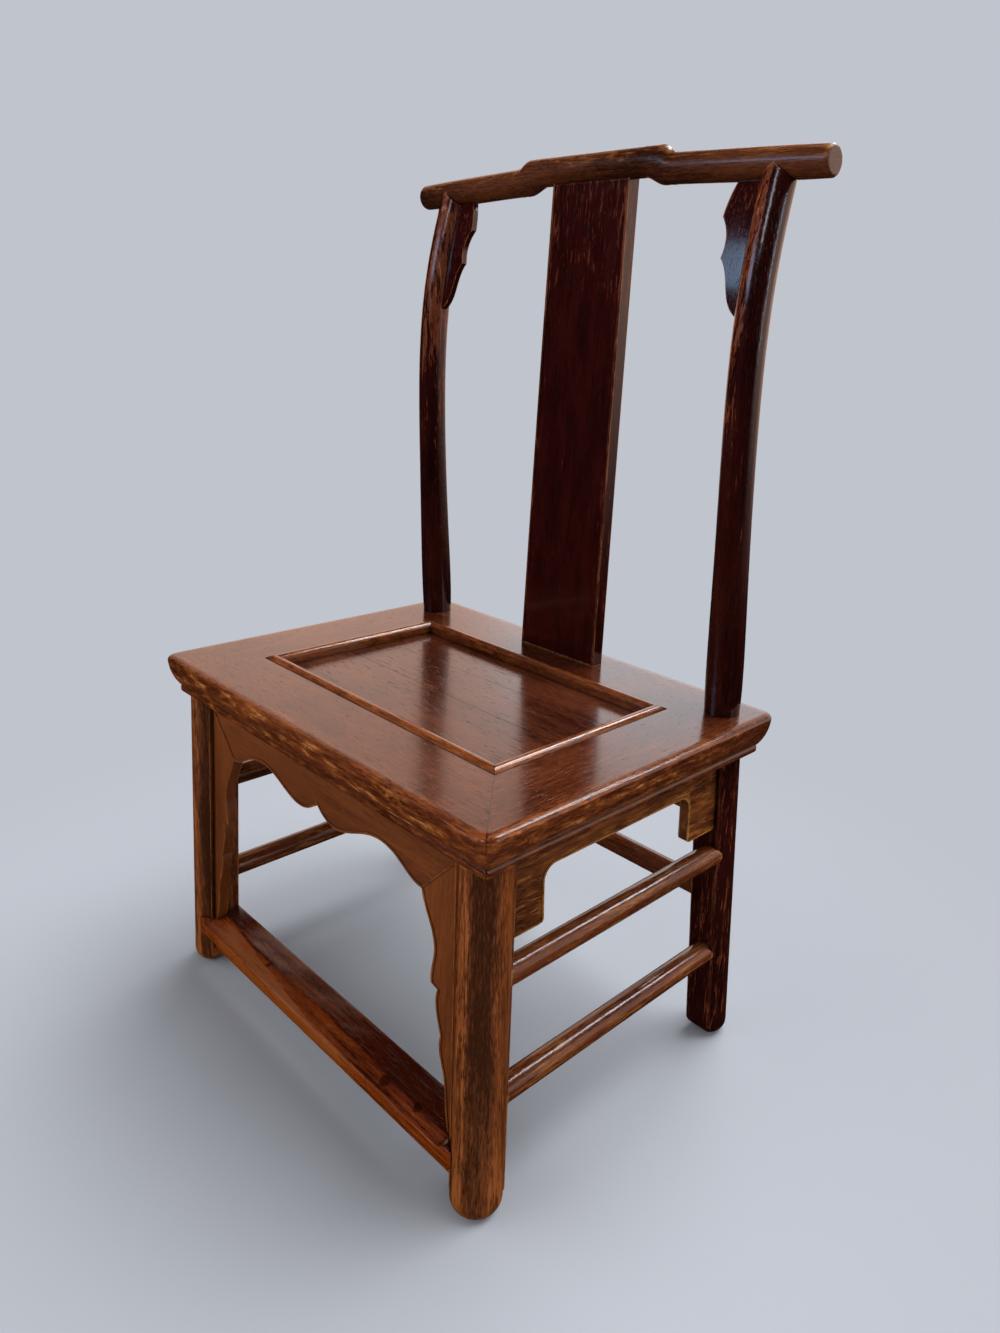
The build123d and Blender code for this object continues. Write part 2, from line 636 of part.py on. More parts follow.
def front_apron_outline(lift=0.0):
    """The front apron from the front: wavy lower edge, mitred to the side pieces."""
    right = [(share * CORNER_X, CORNER_Z + rise + lift) for share, rise in FRONT_APRON_WAVE]
    left = [(-x, z) for x, z in right]
    crown = SEAT_UNDERSIDE + lift
    reach = CORNER_X + crown - CORNER_Z - lift
    return make_face(Spline(*right) + Spline(*left) + Polyline(right[-1], (reach, crown), (-reach, crown),
                                                                left[-1]))


def front_apron_tongue():
    """The strip of the front apron that is housed in the seat."""
    half = CORNER_X
    return Polygon((-half, SEAT_UNDERSIDE - BOARD_TONGUE_DEPTH), (half, SEAT_UNDERSIDE - BOARD_TONGUE_DEPTH),
                   (half, SEAT_UNDERSIDE + BOARD_TONGUE_DEPTH), (-half, SEAT_UNDERSIDE + BOARD_TONGUE_DEPTH),
                   align=None)


def side_piece_edge(points):
    """Places points of the side piece's carved edge."""
    height = CORNER_Z - FOOTREST_HEIGHT
    placed = []
    for share, width in points:
        z = CORNER_Z - height * share
        placed.append((front_flat(z) - width, z))
    return placed


def side_piece_outline():
    """The right side piece from the front, from its mitre down to the footrest."""
    leaf = [(CORNER_X, CORNER_Z)] + side_piece_edge(SIDE_PIECE_LEAF)
    curl = side_piece_edge(SIDE_PIECE_CURL)
    tail = side_piece_edge(SIDE_PIECE_TAIL)
    reach = front_axis(SEAT_UNDERSIDE).X
    mitre_top = (CORNER_X + SEAT_UNDERSIDE - CORNER_Z, SEAT_UNDERSIDE)
    return make_face(Spline(*leaf) + Line(leaf[-1], curl[0]) + Spline(*curl) + Spline(*tail)
                     + Polyline(tail[-1], (reach, FOOTREST_HEIGHT), (reach, SEAT_UNDERSIDE),
                                mitre_top, leaf[0]))


def side_piece_tongue():
    """The strip of the side piece that is housed in the leg's flat."""
    low, high = FOOTREST_HEIGHT + BOARD_TONGUE_DEPTH, CORNER_Z
    lap = BOARD_TONGUE_DEPTH / 2
    return Polygon((front_flat(low) - lap, low), (front_flat(low) + BOARD_TONGUE_DEPTH, low),
                   (front_flat(high) + BOARD_TONGUE_DEPTH, high), (front_flat(high) - lap, high), align=None)


# The side and rear aprons are drawn facing -Y and then turned into place.
def bracket_apron_outline(left, right, left_width, right_width):
    """A straight apron with a bracket at each end: left and right are its ends."""
    whole = Polygon((left, SEAT_UNDERSIDE - BRACKET_DROP), (right, SEAT_UNDERSIDE - BRACKET_DROP),
                    (right, SEAT_UNDERSIDE), (left, SEAT_UNDERSIDE), align=None)
    window = bracket_window(left, right, left_width, right_width)
    cut = whole - window
    corners = cut.vertices().group_by(Axis.Y)[0].sort_by(Axis.X)[1:3]
    return fillet(corners, BRACKET_CORNER)


def bracket_window(left, right, left_width, right_width):
    """The space between the two brackets."""
    low = SEAT_UNDERSIDE - 2 * BRACKET_DROP
    high = SEAT_UNDERSIDE - SIDE_APRON_DROP
    window = Polygon((left + left_width, low), (right - right_width, low), (right - right_width, high),
                     (left + left_width, high), align=None)
    return fillet(window.vertices().group_by(Axis.Y)[-1], BRACKET_HOLLOW)


def bracket_apron_tongue(left, right):
    """The strips housed in the seat and in the flats of both legs."""
    low, high = SEAT_UNDERSIDE - BRACKET_DROP + BOARD_TONGUE_DEPTH, SEAT_UNDERSIDE - BOARD_TONGUE_DEPTH
    lap = BOARD_TONGUE_DEPTH
    head = Polygon((left + 3 * lap, high), (right - 3 * lap, high), (right - 3 * lap, high + 2 * lap),
                   (left + 3 * lap, high + 2 * lap), align=None)
    ends = []
    for edge in (left, right):
        ends.append(Polygon((edge - lap, low), (edge + lap, low), (edge + lap, high - lap),
                            (edge - lap, high - lap), align=None))
    return head + ends[0] + ends[1]


# ---- Footrest ----
def footrest_tenon(grow=0.0):
    """The right-hand tenon of the footrest."""
    middle = front_axis(FOOTREST_HEIGHT - FOOTREST_THICKNESS / 2)
    flat = middle.X - FRONT_LEG_FLAT
    half, thick = FOOTREST_TENON_WIDTH / 2 + grow, FOOTREST_TENON_THICKNESS / 2 + grow
    return block((flat - FOOTREST_TENON_LENGTH, flat + FOOTREST_TENON_LENGTH + grow),
                 (middle.Y - half, middle.Y + half), (middle.Z - thick, middle.Z + thick))


def footrest(legs):
    """The footrest: notched round the front legs, its front edge worn hollow by feet."""
    top = FOOTREST_HEIGHT
    front = front_axis(top).Y - FOOTREST_FRONT
    half = front_axis(top).X - FOOTREST_END_INSET
    over = FOOTREST_CHAMFER
    plan = Rectangle(2 * half, FOOTREST_DEPTH)
    plan = fillet(plan.vertices().group_by(Axis.Y)[0], FOOTREST_CORNER)
    solid = extrude(Pos(0, front + FOOTREST_DEPTH / 2, top - FOOTREST_THICKNESS) * plan,
                    amount=FOOTREST_THICKNESS)
    worn = Polygon((front - over, top - FOOTREST_WEAR_DROP), (front, top - FOOTREST_WEAR_DROP),
                   (front + FOOTREST_WEAR_DEPTH, top), (front + FOOTREST_WEAR_DEPTH, top + over),
                   (front - over, top + over), align=None)
    sharp = Polygon((front - over, top - over / 2), (front, top - over / 2), (front + over, top),
                    (front + over, top + over), (front - over, top + over), align=None)
    plane = Plane(origin=(0, 0, 0), x_dir=(0, 1, 0), z_dir=(1, 0, 0))
    sections = []
    for x, outline in ((-half, sharp), (0, worn), (half, sharp)):
        sections.append(Pos(x, 0, 0) * (plane * outline))
    solid = solid - loft(sections)
    low_front = solid.edges().filter_by(Axis.X).group_by(Axis.Z)[0].sort_by(Axis.Y)[0]
    solid = fillet(low_front, FOOTREST_EDGE)
    return solid - legs


def footrest_strip():
    """The narrow apron under the footrest."""
    top = FOOTREST_HEIGHT - FOOTREST_THICKNESS
    near = front_axis(top).Y - FOOTREST_FRONT + STRIP_SET_BACK
    reach = front_axis(top).X
    return block((-reach, reach), (near, near + STRIP_THICKNESS), (top - STRIP_HEIGHT, top))


# ---- Stretchers ----
def side_rung_ends(height, outset):
    """The two ends of a right-hand stretcher, at the axes of the legs."""
    front, rear = front_axis(height), rear_axis(height)
    x = (front.X + rear.X) / 2 + outset
    return Vector(x, front.Y, height), Vector(x, rear.Y, height)


def rung(start, end, legs):
    """A round stretcher scribed to the legs, with a round tenon at each end."""
    return (bar(start, end, RUNG_DIAMETER) - legs) + rung_tenon(start, end)


def rung_tenon(start, end, grow=0.0):
    """The round tenons of a stretcher, as one pin from end to end."""
    reach = (end - start).normalized() * (RUNG_TENON_REACH + grow)
    return bar(start - reach, end + reach, RUNG_TENON_DIAMETER + 2 * grow)


# ---- Pegs ----
def seat_peg(inset, grow=0.0):
    """A peg driven up through a side rail and the tenon in it, front right corner."""
    y = -SEAT_DEPTH / 2 + inset + RAIL_TENON_WIDTH / 2
    x = SEAT_WIDTH / 2 - EDGE_INSET - PEG_DIAMETER
    top = RAIL_TENON_BASE + RAIL_TENON_THICKNESS
    return bar(Vector(x, y, SEAT_UNDERSIDE), Vector(x, y, top + grow), PEG_DIAMETER + 2 * grow)


def crest_peg(grow=0.0):
    """A peg driven from behind through the crest and the right-hand post's tenon."""
    z = crest_axis_height(POST_HEAD.X) + CREST_PEG_RISE
    depth = sqrt(CREST_RADIUS**2 - (CREST_PEG_RISE + CREST_PEG_DIAMETER / 2)**2)
    inner = Vector(POST_HEAD.X, CREST_Y - POST_TENON / 4 - grow, z)
    return bar(inner, Vector(POST_HEAD.X, CREST_Y + depth, z), CREST_PEG_DIAMETER + 2 * grow)


# ---- Assembly: blanks first, then every housing is cut from the same values ----
leg_blank = front_leg()
post_blank = rear_post()
front_legs = leg_blank + mirrored(leg_blank)
rear_legs = post_blank + mirrored(post_blank)

upper_ends = side_rung_ends(UPPER_RUNG_HEIGHT, UPPER_RUNG_OFFSET)
lower_ends = side_rung_ends(LOWER_RUNG_HEIGHT, LOWER_RUNG_OFFSET)
rear_middle = rear_axis(REAR_RUNG_HEIGHT)
rear_ends = (Vector(-rear_middle.X, rear_middle.Y, rear_middle.Z), rear_middle)
side_legs = leg_blank + post_blank
upper_rung = rung(*upper_ends, side_legs)
lower_rung = rung(*lower_ends, side_legs)
rear_rung = rung(*rear_ends, rear_legs)
side_pins = rung_tenon(*upper_ends, FIT) + rung_tenon(*lower_ends, FIT)

# Front apron and side pieces
apron_outline = front_apron_outline()
apron_bead = apron_outline - front_apron_outline(EDGE_BEAD_WIDTH)
apron_solid, apron_proud, apron_key = board(apron_outline, apron_bead, front_apron_tongue(),
                                            FRONT_FACE, SPLAY_FRONT)
front_apron = (apron_solid + apron_proud) - front_legs + apron_key
apron_groove = tongue_groove(front_apron_tongue(), FRONT_FACE, SPLAY_FRONT)

piece_outline = side_piece_outline()
piece_bead = piece_outline - Pos(EDGE_BEAD_WIDTH, 0) * piece_outline
mitre_guard = Polygon((CORNER_X + EDGE_BEAD_WIDTH, CORNER_Z), (FAR, CORNER_Z), (FAR, FAR),
                      (-FAR, FAR), (-FAR, CORNER_Z), align=None)
piece_bead = piece_bead - mitre_guard
piece_solid, piece_proud, piece_key = board(piece_outline, piece_bead, side_piece_tongue(),
                                            FRONT_FACE, SPLAY_FRONT)
side_piece = (piece_solid + piece_proud) - leg_blank + piece_key
piece_groove = tongue_groove(side_piece_tongue(), FRONT_FACE, SPLAY_FRONT)

# Side and rear aprons
side_left = front_axis(SEAT_UNDERSIDE).Y + FRONT_LEG_FLAT
side_right = rear_axis(SEAT_UNDERSIDE).Y - REAR_LEG_FLAT
side_face = -front_axis(SEAT_UNDERSIDE).X - SIDE_APRON_SET
side_widths = (FRONT_BRACKET_WIDTH, REAR_BRACKET_WIDTH)
side_span = (side_left - SPLAY_FRONT, side_right + SPLAY_REAR)
side_window = bracket_window(side_left, side_right, *side_widths)
side_outline = bracket_apron_outline(*side_span, FRONT_BRACKET_WIDTH + SPLAY_FRONT,
                                     REAR_BRACKET_WIDTH + SPLAY_REAR)
side_bead = side_outline & offset(side_window, amount=EDGE_BEAD_WIDTH)
side_tongue = bracket_apron_tongue(side_left, side_right)
side_solid, side_proud, side_key = board(side_outline, side_bead, side_tongue, side_face, SPLAY_SIDE)
side_apron = Rot(Z=90) * (side_solid + side_proud) - side_legs + Rot(Z=90) * side_key
side_groove = Rot(Z=90) * tongue_groove(side_tongue, side_face, SPLAY_SIDE)

back_half = rear_axis(SEAT_UNDERSIDE).X - REAR_LEG_FLAT
back_face = -rear_axis(SEAT_UNDERSIDE).Y - SIDE_APRON_SET + (REAR_LEG_FLAT - SIDE_APRON_SET)
back_outline = bracket_apron_outline(-back_half - SPLAY_SIDE, back_half + SPLAY_SIDE,
                                     FRONT_BRACKET_WIDTH + SPLAY_SIDE, FRONT_BRACKET_WIDTH + SPLAY_SIDE)
back_window = bracket_window(-back_half, back_half, FRONT_BRACKET_WIDTH, FRONT_BRACKET_WIDTH)
back_bead = back_outline & offset(back_window, amount=EDGE_BEAD_WIDTH)
back_tongue = bracket_apron_tongue(-back_half, back_half)
back_solid, back_proud, back_key = board(back_outline, back_bead, back_tongue, back_face, SPLAY_REAR)
rear_apron = Rot(Z=180) * (back_solid + back_proud) - rear_legs + Rot(Z=180) * back_key
back_groove = Rot(Z=180) * tongue_groove(back_tongue, back_face, SPLAY_REAR)

# Footrest
rest_tenon = footrest_tenon()
rest_room = footrest_tenon(FIT)
footrest_board = footrest(front_legs) + (rest_tenon & block((0, FAR), (-FAR, FAR), (0, FAR)))
footrest_board = footrest_board + mirrored(rest_tenon)
footrest_apron = footrest_strip() - front_legs

# Crest, splat and spandrels
crest_blank = crest_rail()
notch = shoulder_notch() + post_tenon(FIT)
splat_board = splat(crest_blank)
spandrel_right = spandrel()
spandrel_room = spandrel(FIT)
crest = crest_blank - notch - mirrored(notch) - splat_tongue(FIT)
crest = crest - spandrel_room - mirrored(spandrel_room)
crest_pegs = crest_peg() + mirrored(crest_peg())
crest = crest - crest_peg(FIT) - mirrored(crest_peg(FIT))

# Legs and posts with all their housings
leg_right = leg_blank - side_pins - piece_groove - side_groove - rest_room
post_right = post_blank - side_pins - rung_tenon(*rear_ends, FIT) - side_groove - back_groove
post_right = post_right - spandrel_room - crest_peg(FIT)

# Seat frame
leg_mortises = front_leg_tenon(FIT) + mirrored(front_leg_tenon(FIT))
post_bores = post_neck(FIT) + mirrored(post_neck(FIT))
batten_mortises = batten_tenon(FIT) + mirrored(batten_tenon(FIT))
front_pegs = seat_peg(FRONT_TENON_INSET)
rear_pegs = mirror(seat_peg(REAR_TENON_INSET), about=Plane.XZ)
seat_pegs = front_pegs + rear_pegs + mirrored(front_pegs) + mirrored(rear_pegs)
front_peg_hole = seat_peg(FRONT_TENON_INSET, FIT)
rear_peg_hole = mirror(seat_peg(REAR_TENON_INSET, FIT), about=Plane.XZ)
peg_holes = front_peg_hole + rear_peg_hole + mirrored(front_peg_hole) + mirrored(rear_peg_hole)

seat_front = end_rail(FRONT_TENON_INSET) - leg_mortises - batten_mortises - apron_groove - peg_holes
seat_back = Rot(Z=180) * end_rail(REAR_TENON_INSET) - post_bores - batten_mortises - back_groove
seat_back = seat_back - splat_tongue(FIT) - peg_holes
seat_right = side_rail() - leg_mortises - post_bores - side_groove - peg_holes

# Panel boards
rear_joint = slanted(REAR_JOINT_LEFT, REAR_JOINT_RIGHT)
rear_joint_back = tuple(y + BOARD_GAP for y in rear_joint)
front_board = panel_board((-FAR, -FAR), (FRONT_JOINT, FRONT_JOINT))
middle_board = panel_board((FRONT_JOINT + BOARD_GAP, FRONT_JOINT + BOARD_GAP), rear_joint)
rear_board = panel_board(rear_joint_back, (FAR, FAR))
batten_slot = front_prism(batten_dovetail(FIT))
batten_slots = batten_slot + mirrored(batten_slot)
batten_right = batten()

parts = {
    "front_right_leg": leg_right,
    "front_left_leg": mirrored(leg_right),
    "rear_right_post": post_right,
    "rear_left_post": mirrored(post_right),
    "seat_frame_front": seat_front,
    "seat_frame_back": seat_back,
    "seat_frame_right": seat_right,
    "seat_frame_left": mirrored(seat_right),
    "seat_panel_front": front_board - batten_slots,
    "seat_panel_middle": middle_board - batten_slots,
    "seat_panel_rear": rear_board - batten_slots,
    "panel_batten_right": batten_right,
    "panel_batten_left": mirrored(batten_right),
    "front_apron": front_apron,
    "front_apron_right_side": side_piece,
    "front_apron_left_side": mirrored(side_piece),
    "right_side_apron": side_apron,
    "left_side_apron": mirrored(side_apron),
    "rear_apron": rear_apron,
    "right_upper_stretcher": upper_rung,
    "left_upper_stretcher": mirrored(upper_rung),
    "right_lower_stretcher": lower_rung,
    "left_lower_stretcher": mirrored(lower_rung),
    "rear_stretcher": rear_rung,
    "footrest": footrest_board,
    "footrest_apron": footrest_apron,
    "crest_rail": crest,
    "splat": splat_board,
    "crest_spandrel_right": spandrel_right,
    "crest_spandrel_left": mirrored(spandrel_right),
    "seat_frame_pegs": seat_pegs,
    "crest_pegs": crest_pegs,
}

os.makedirs("parts", exist_ok=True)
for name, solid in parts.items():
    export_step(solid, f"parts/{name}.step")
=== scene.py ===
from math import copysign, hypot, radians

import bpy
from mathutils import Matrix, Vector, noise


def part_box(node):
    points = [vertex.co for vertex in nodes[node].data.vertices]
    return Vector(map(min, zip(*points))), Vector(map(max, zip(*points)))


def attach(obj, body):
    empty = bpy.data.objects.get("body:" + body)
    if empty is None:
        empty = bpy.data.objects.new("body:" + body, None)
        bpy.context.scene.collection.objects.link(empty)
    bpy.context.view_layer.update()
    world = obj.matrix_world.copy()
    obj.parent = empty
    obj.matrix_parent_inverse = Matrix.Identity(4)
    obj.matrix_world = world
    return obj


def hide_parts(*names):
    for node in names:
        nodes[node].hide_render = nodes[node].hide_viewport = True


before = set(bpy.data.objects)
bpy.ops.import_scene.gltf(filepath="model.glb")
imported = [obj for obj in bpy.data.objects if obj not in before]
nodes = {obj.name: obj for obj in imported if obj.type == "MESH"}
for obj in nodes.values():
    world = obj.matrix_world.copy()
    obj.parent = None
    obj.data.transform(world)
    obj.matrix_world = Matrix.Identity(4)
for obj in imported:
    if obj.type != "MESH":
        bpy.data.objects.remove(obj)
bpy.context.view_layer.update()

bpy.ops.object.select_all(action="DESELECT")


# ---- Front legs ----
# Splayed elm legs, round outside and square inside, tenoned up into the seat frame. Brown lacquer
# was brushed on in several coats. Hands and shoes have rubbed it through to golden wood, in
# streaks down the grain and most of all near the floor.
SMOOTH = {"interpolation_type": "SMOOTHSTEP"}  # makes a mapped range start and stop softly
FIBRE = (9, 1.2)                # mm; coarser than the real pores, 0.3 mm wide, so that it shows
ARRIS_RADIUS = 0.003            # how far in from an arris it is rubbed
CORNER_REACH = 0.008             # how far out of a corner shade is painted, and arrises there aren't counted as worn
SOFT_RAYS = 6                   # rays that look for arrises and corners
THIN_AT = 0.58                  # rubbing that leaves the lacquer thin
THROUGH_AT = 0.88               # rubbing that bares the wood
SHOE_HEIGHT = 0.11              # shoes rub the legs up to here


def linear(hex_colour):
    """An sRGB hex colour as linear RGBA."""
    channels = [int(hex_colour[i:i + 2], 16) / 255 for i in (1, 3, 5)]
    return [c / 12.92 if c <= 0.04045 else ((c + 0.055) / 1.055) ** 2.4 for c in channels] + [1.0]


def add(tree, kind, inputs=(), **settings):
    """Adds a node with its settings. Inputs come in order or by name, as values or as links.

    A link is another node's socket, or the node itself, which stands for its first output in use.
    """
    made = tree.nodes.new(kind)
    for name, value in settings.items():
        setattr(made, name, value)
    for name, value in inputs.items() if isinstance(inputs, dict) else enumerate(inputs):
        if isinstance(value, bpy.types.Node):
            value = next(socket for socket in value.outputs if socket.enabled)
        if isinstance(value, bpy.types.NodeSocket):
            tree.links.new(value, made.inputs[name])
        else:
            made.inputs[name].default_value = value
    return made


def grain_marks(tree, place, axis, along, across, detail, roughness, distortion=0.0):
    """Marks along by across millimetres that follow the grain, as values around zero."""
    per_metre = [1000.0 / across] * 3
    per_metre["XYZ".index(axis)] = 1000.0 / along
    drawn = add(tree, "ShaderNodeMapping", {"Vector": place, "Scale": per_metre})
    marks = add(tree, "ShaderNodeTexNoise", {"Vector": drawn, "Scale": 1.0, "Detail": detail,
                                             "Roughness": roughness, "Distortion": distortion})
    return add(tree, "ShaderNodeMath", (marks, 0.5), operation="SUBTRACT")


def worn_lacquer(name, axis, tones, wear, gloss, streak=(150, 3), patch=(60, 9), crack=(45, 1.1),
                 edges=0.5, relief=0.2, flake=0.3, mottle=1.5, places=None):
    """Lacquer brushed over open-grained elm, polished by use and rubbed through in places.

    Whole lacquer is deep, dark and glossy, so it mirrors the room. Rubbed thin it lets an orange
    brown through, and where it is gone the wood is golden and dull. Painted shade darkens its
    corners.

    tones are the lacquer down in the grain, whole lacquer, thin lacquer and bare wood. wear is how
    much is rubbed, and gloss is the roughness of whole lacquer. streak, patch and crack are the
    lengths and widths of the marks along axis, and relief is their depth, all in millimetres.
    edges is how worn the arrises are. The lower flake is, the sharper the marks' outlines are, and
    the higher mottle is, the blotchier the wear. places gives the places that are rubbed more or
    less, each with how much.
    """
    material = bpy.data.materials.new(name)
    material.use_nodes = True
    tree = material.node_tree
    tree.nodes.clear()
    place = add(tree, "ShaderNodeTexCoord").outputs["Object"]
    normal = add(tree, "ShaderNodeNewGeometry").outputs["Normal"]

    streaks = grain_marks(tree, place, axis, *streak, 4.0, 0.6, 0.3)
    patches = grain_marks(tree, place, axis, *patch, 7.0, 0.72, 0.5)
    fibres = grain_marks(tree, place, axis, *FIBRE, 3.0, 0.7)
    cracks = grain_marks(tree, place, axis, *crack, 2.0, 0.5)
    cloud = grain_marks(tree, place, axis, 3 * patch[0], 4 * patch[1], 3.0, 0.5)

    # An arris is where the rounded normal leaves the face's own, except down in a corner.
    rounded = add(tree, "ShaderNodeBevel", {"Radius": ARRIS_RADIUS}, samples=SOFT_RAYS)
    meet = add(tree, "ShaderNodeVectorMath", (rounded, normal), operation="DOT_PRODUCT")
    sharp = add(tree, "ShaderNodeMapRange", (meet, 0.99, 0.85), **SMOOTH)
    hollow = add(tree, "ShaderNodeAmbientOcclusion", {"Distance": CORNER_REACH}, samples=SOFT_RAYS)
    open_air = add(tree, "ShaderNodeMapRange", (hollow.outputs["AO"], 0.65, 0.97), **SMOOTH)
    arris = add(tree, "ShaderNodeMath", (sharp, open_air), operation="MULTIPLY")

    # How much is rubbed here: the marks along the grain, the worn places and the arrises, added up.
    placed = 0.0
    for where, weight in places(tree, place, normal) if places else ():
        placed = add(tree, "ShaderNodeMath", (where, weight, placed), operation="MULTIPLY_ADD")
    rubbing = wear
    for mark, weight in ((fibres, 0.6), (patches, mottle), (streaks, 0.8), (placed, 1.0),
                         (arris, edges)):
        rubbing = add(tree, "ShaderNodeMath", (mark, weight, rubbing), operation="MULTIPLY_ADD")
    thin, through = (add(tree, "ShaderNodeMapRange", (rubbing, middle - soft, middle + soft),
                         **SMOOTH)
                     for middle, soft in ((THIN_AT, flake / 2), (THROUGH_AT, flake / 3)))
    cracked = add(tree, "ShaderNodeMapRange", (cracks, 0.13, 0.2), **SMOOTH)

    # The colour, from the lacquer down in the grain to the painted shade in corners on top.
    tone = 0.5
    for mark, weight in ((fibres, 1.4), (cloud, 0.9 * mottle), (streaks, 0.8), (placed, 0.5),
                         (patches, 0.7)):
        tone = add(tree, "ShaderNodeMath", (mark, weight, tone), operation="MULTIPLY_ADD")
    whole = add(tree, "ShaderNodeMapRange", (tone, 0.2, 0.8))
    colour = linear(tones[0])
    for share, coat in ((whole, tones[1]), (thin, tones[2]), (through, tones[3]),
                        (cracked, tones[0])):
        colour = add(tree, "ShaderNodeMix", {"Factor": share, "A": colour, "B": linear(coat)},
                     data_type="RGBA")
    # Painted shade: the colour is darkened where ambient occlusion finds a corner or a recess.
    painted_corner_shade = add(tree, "ShaderNodeMapRange", (hollow.outputs["AO"], 0.3, 0.85, 0.25, 1.0))
    colour_with_painted_shade = add(tree, "ShaderNodeMix", {"Factor": 1.0, "A": colour, "B": painted_corner_shade}, data_type="RGBA",
                 blend_type="MULTIPLY")

    # Rubbed and cracked places are duller, and lie lower.
    dull = gloss
    for mark, weight in ((fibres, 0.15), (cloud, 0.12), (thin, 0.1), (through, 0.2),
                         (cracked, 0.2)):
        dull = add(tree, "ShaderNodeMath", (mark, weight, dull), operation="MULTIPLY_ADD")
    height = fibres
    for mark, weight in ((cracked, -0.8), (streaks, 0.8), (through, -0.8)):
        height = add(tree, "ShaderNodeMath", (mark, weight, height), operation="MULTIPLY_ADD")
    bump = add(tree, "ShaderNodeBump", {"Height": height, "Distance": relief / 1000,
                                        "Strength": 1.0})
    surface = add(tree, "ShaderNodeBsdfPrincipled", {"Base Color": colour_with_painted_shade, "Roughness": dull,
                                                     "Normal": bump, "IOR": 1.5,
                                                     "Coat Weight": 0.25, "Coat Roughness": 0.1})
    add(tree, "ShaderNodeOutputMaterial", {"Surface": surface})
    return material


def finish(node, material):
    """Gives a piece its material."""
    node.data.materials.clear()
    node.data.materials.append(material)


def leg_rubbing(tree, place, normal):
    """More wear near the floor, and less down the outer corner, which darkens it."""
    at = add(tree, "ShaderNodeSeparateXYZ", (place,))
    facing = add(tree, "ShaderNodeSeparateXYZ", (normal,))
    sideways = add(tree, "ShaderNodeMath", (facing.outputs["X"],), operation="ABSOLUTE")
    slanting = add(tree, "ShaderNodeMath", (sideways, facing.outputs["Y"]), operation="SUBTRACT")
    side = add(tree, "ShaderNodeMapRange", (sideways, 0.6, 0.95), **SMOOTH)
    foot = add(tree, "ShaderNodeMapRange", (at.outputs["Z"], SHOE_HEIGHT, 0.0), **SMOOTH)
    outer_corner = add(tree, "ShaderNodeMapRange", (slanting, 1.2, 1.4), **SMOOTH)
    return (1.0, 0.04), (side, -0.12), (foot, 0.2), (outer_corner, -0.55)


# Brown brushed lacquer, half worn away, gives satin brown between dull golden streaks.
leg_tones = ("#3C1C0A", "#8A481B", "#9A5422", "#B47436")
leg_lacquer = worn_lacquer("worn_brown_lacquer_on_legs", "Z", leg_tones, 0.46, 0.3,
                           streak=(120, 1.8), patch=(70, 3.5), crack=(60, 1.2), mottle=1.2,
                           places=leg_rubbing)
for side in ("left", "right"):
    finish(nodes[f"front_{side}_leg"], leg_lacquer)


# ---- Rear posts ----
# Each is one length of elm, from the floor through the seat frame's corner to a tenon in the crest.
# It was brushed with nearly black maroon lacquer, which has flaked off in short streaks where
# backs, hands and legs have rubbed.
HAND_RUB = (0.50, 0.76)         # heights at which hands start to rub, and rub most, inside
LEG_RUB = (0.34, 0.30)          # the same for legs, which brush the posts below the seat


def post_rubbing(tree, place, normal):
    """Hands have rubbed the inner faces near the crest, and legs brush the posts under the seat."""
    at = add(tree, "ShaderNodeSeparateXYZ", (place,))
    facing = add(tree, "ShaderNodeSeparateXYZ", (normal,))
    outwards = add(tree, "ShaderNodeMath", (at.outputs["X"], facing.outputs["X"]),
                   operation="MULTIPLY")
    inner_face = add(tree, "ShaderNodeMapRange", (outwards, 0.07, 0.0), **SMOOTH)
    high = add(tree, "ShaderNodeMapRange", (at.outputs["Z"], *HAND_RUB), **SMOOTH)
    held = add(tree, "ShaderNodeMath", (high, inner_face), operation="MULTIPLY")
    brushed = add(tree, "ShaderNodeMapRange", (at.outputs["Z"], *LEG_RUB), **SMOOTH)
    return (brushed, 0.18), (held, 0.42)


# Maroon brushed lacquer, nearly whole, is almost black and mirrors sharply between orange flakes.
post_tones = ("#190404", "#300C08", "#6A3018", "#A06A34")
post_lacquer = worn_lacquer("flaked_maroon_lacquer_on_posts", "Z", post_tones, 0.24, 0.16,
                            streak=(60, 2.2), patch=(40, 5), edges=0.4, relief=0.08, flake=0.16,
                            places=post_rubbing)
for side in ("left", "right"):
    finish(nodes[f"rear_{side}_post"], post_lacquer)


# ---- Seat frame ----
# Four elm rails of one moulded section, mitred at the corners and tenoned through the side rails.
# Their red-brown lacquer is polished by sitting. Hands and legs have rubbed the top's outer edge
# and the four corners round.
KNOCKED_RADIUS = 0.014          # that the outer corners are worn to, in plan
CORNER_CUTS = 7                 # across each rounded corner
ROUNDED_WIDTH = 0.009           # strip along the top's outer edge that is rubbed round
ROUNDED_DROP = 0.0028           # how far that has lowered the edge itself
ROUNDED_DEPTH = 0.012           # the moulding below is worn too, down to here
ROUNDED_CUTS = 7                # along that strip
SAME_PLACE = 0.00001            # vertices nearer than this are one


def worn_copy(node_name, name):
    """A merged copy of a CAD node, selected and active, to be worn down and shown in its place."""
    piece = nodes[node_name].copy()
    piece.data = nodes[node_name].data.copy()
    piece.name = name
    bpy.context.scene.collection.objects.link(piece)
    piece.select_set(True)
    bpy.context.view_layer.objects.active = piece
    bpy.ops.object.mode_set(mode="EDIT")
    bpy.ops.mesh.select_all(action="SELECT")
    bpy.ops.mesh.remove_doubles(threshold=SAME_PLACE)
    bpy.ops.object.mode_set(mode="OBJECT")
    return piece


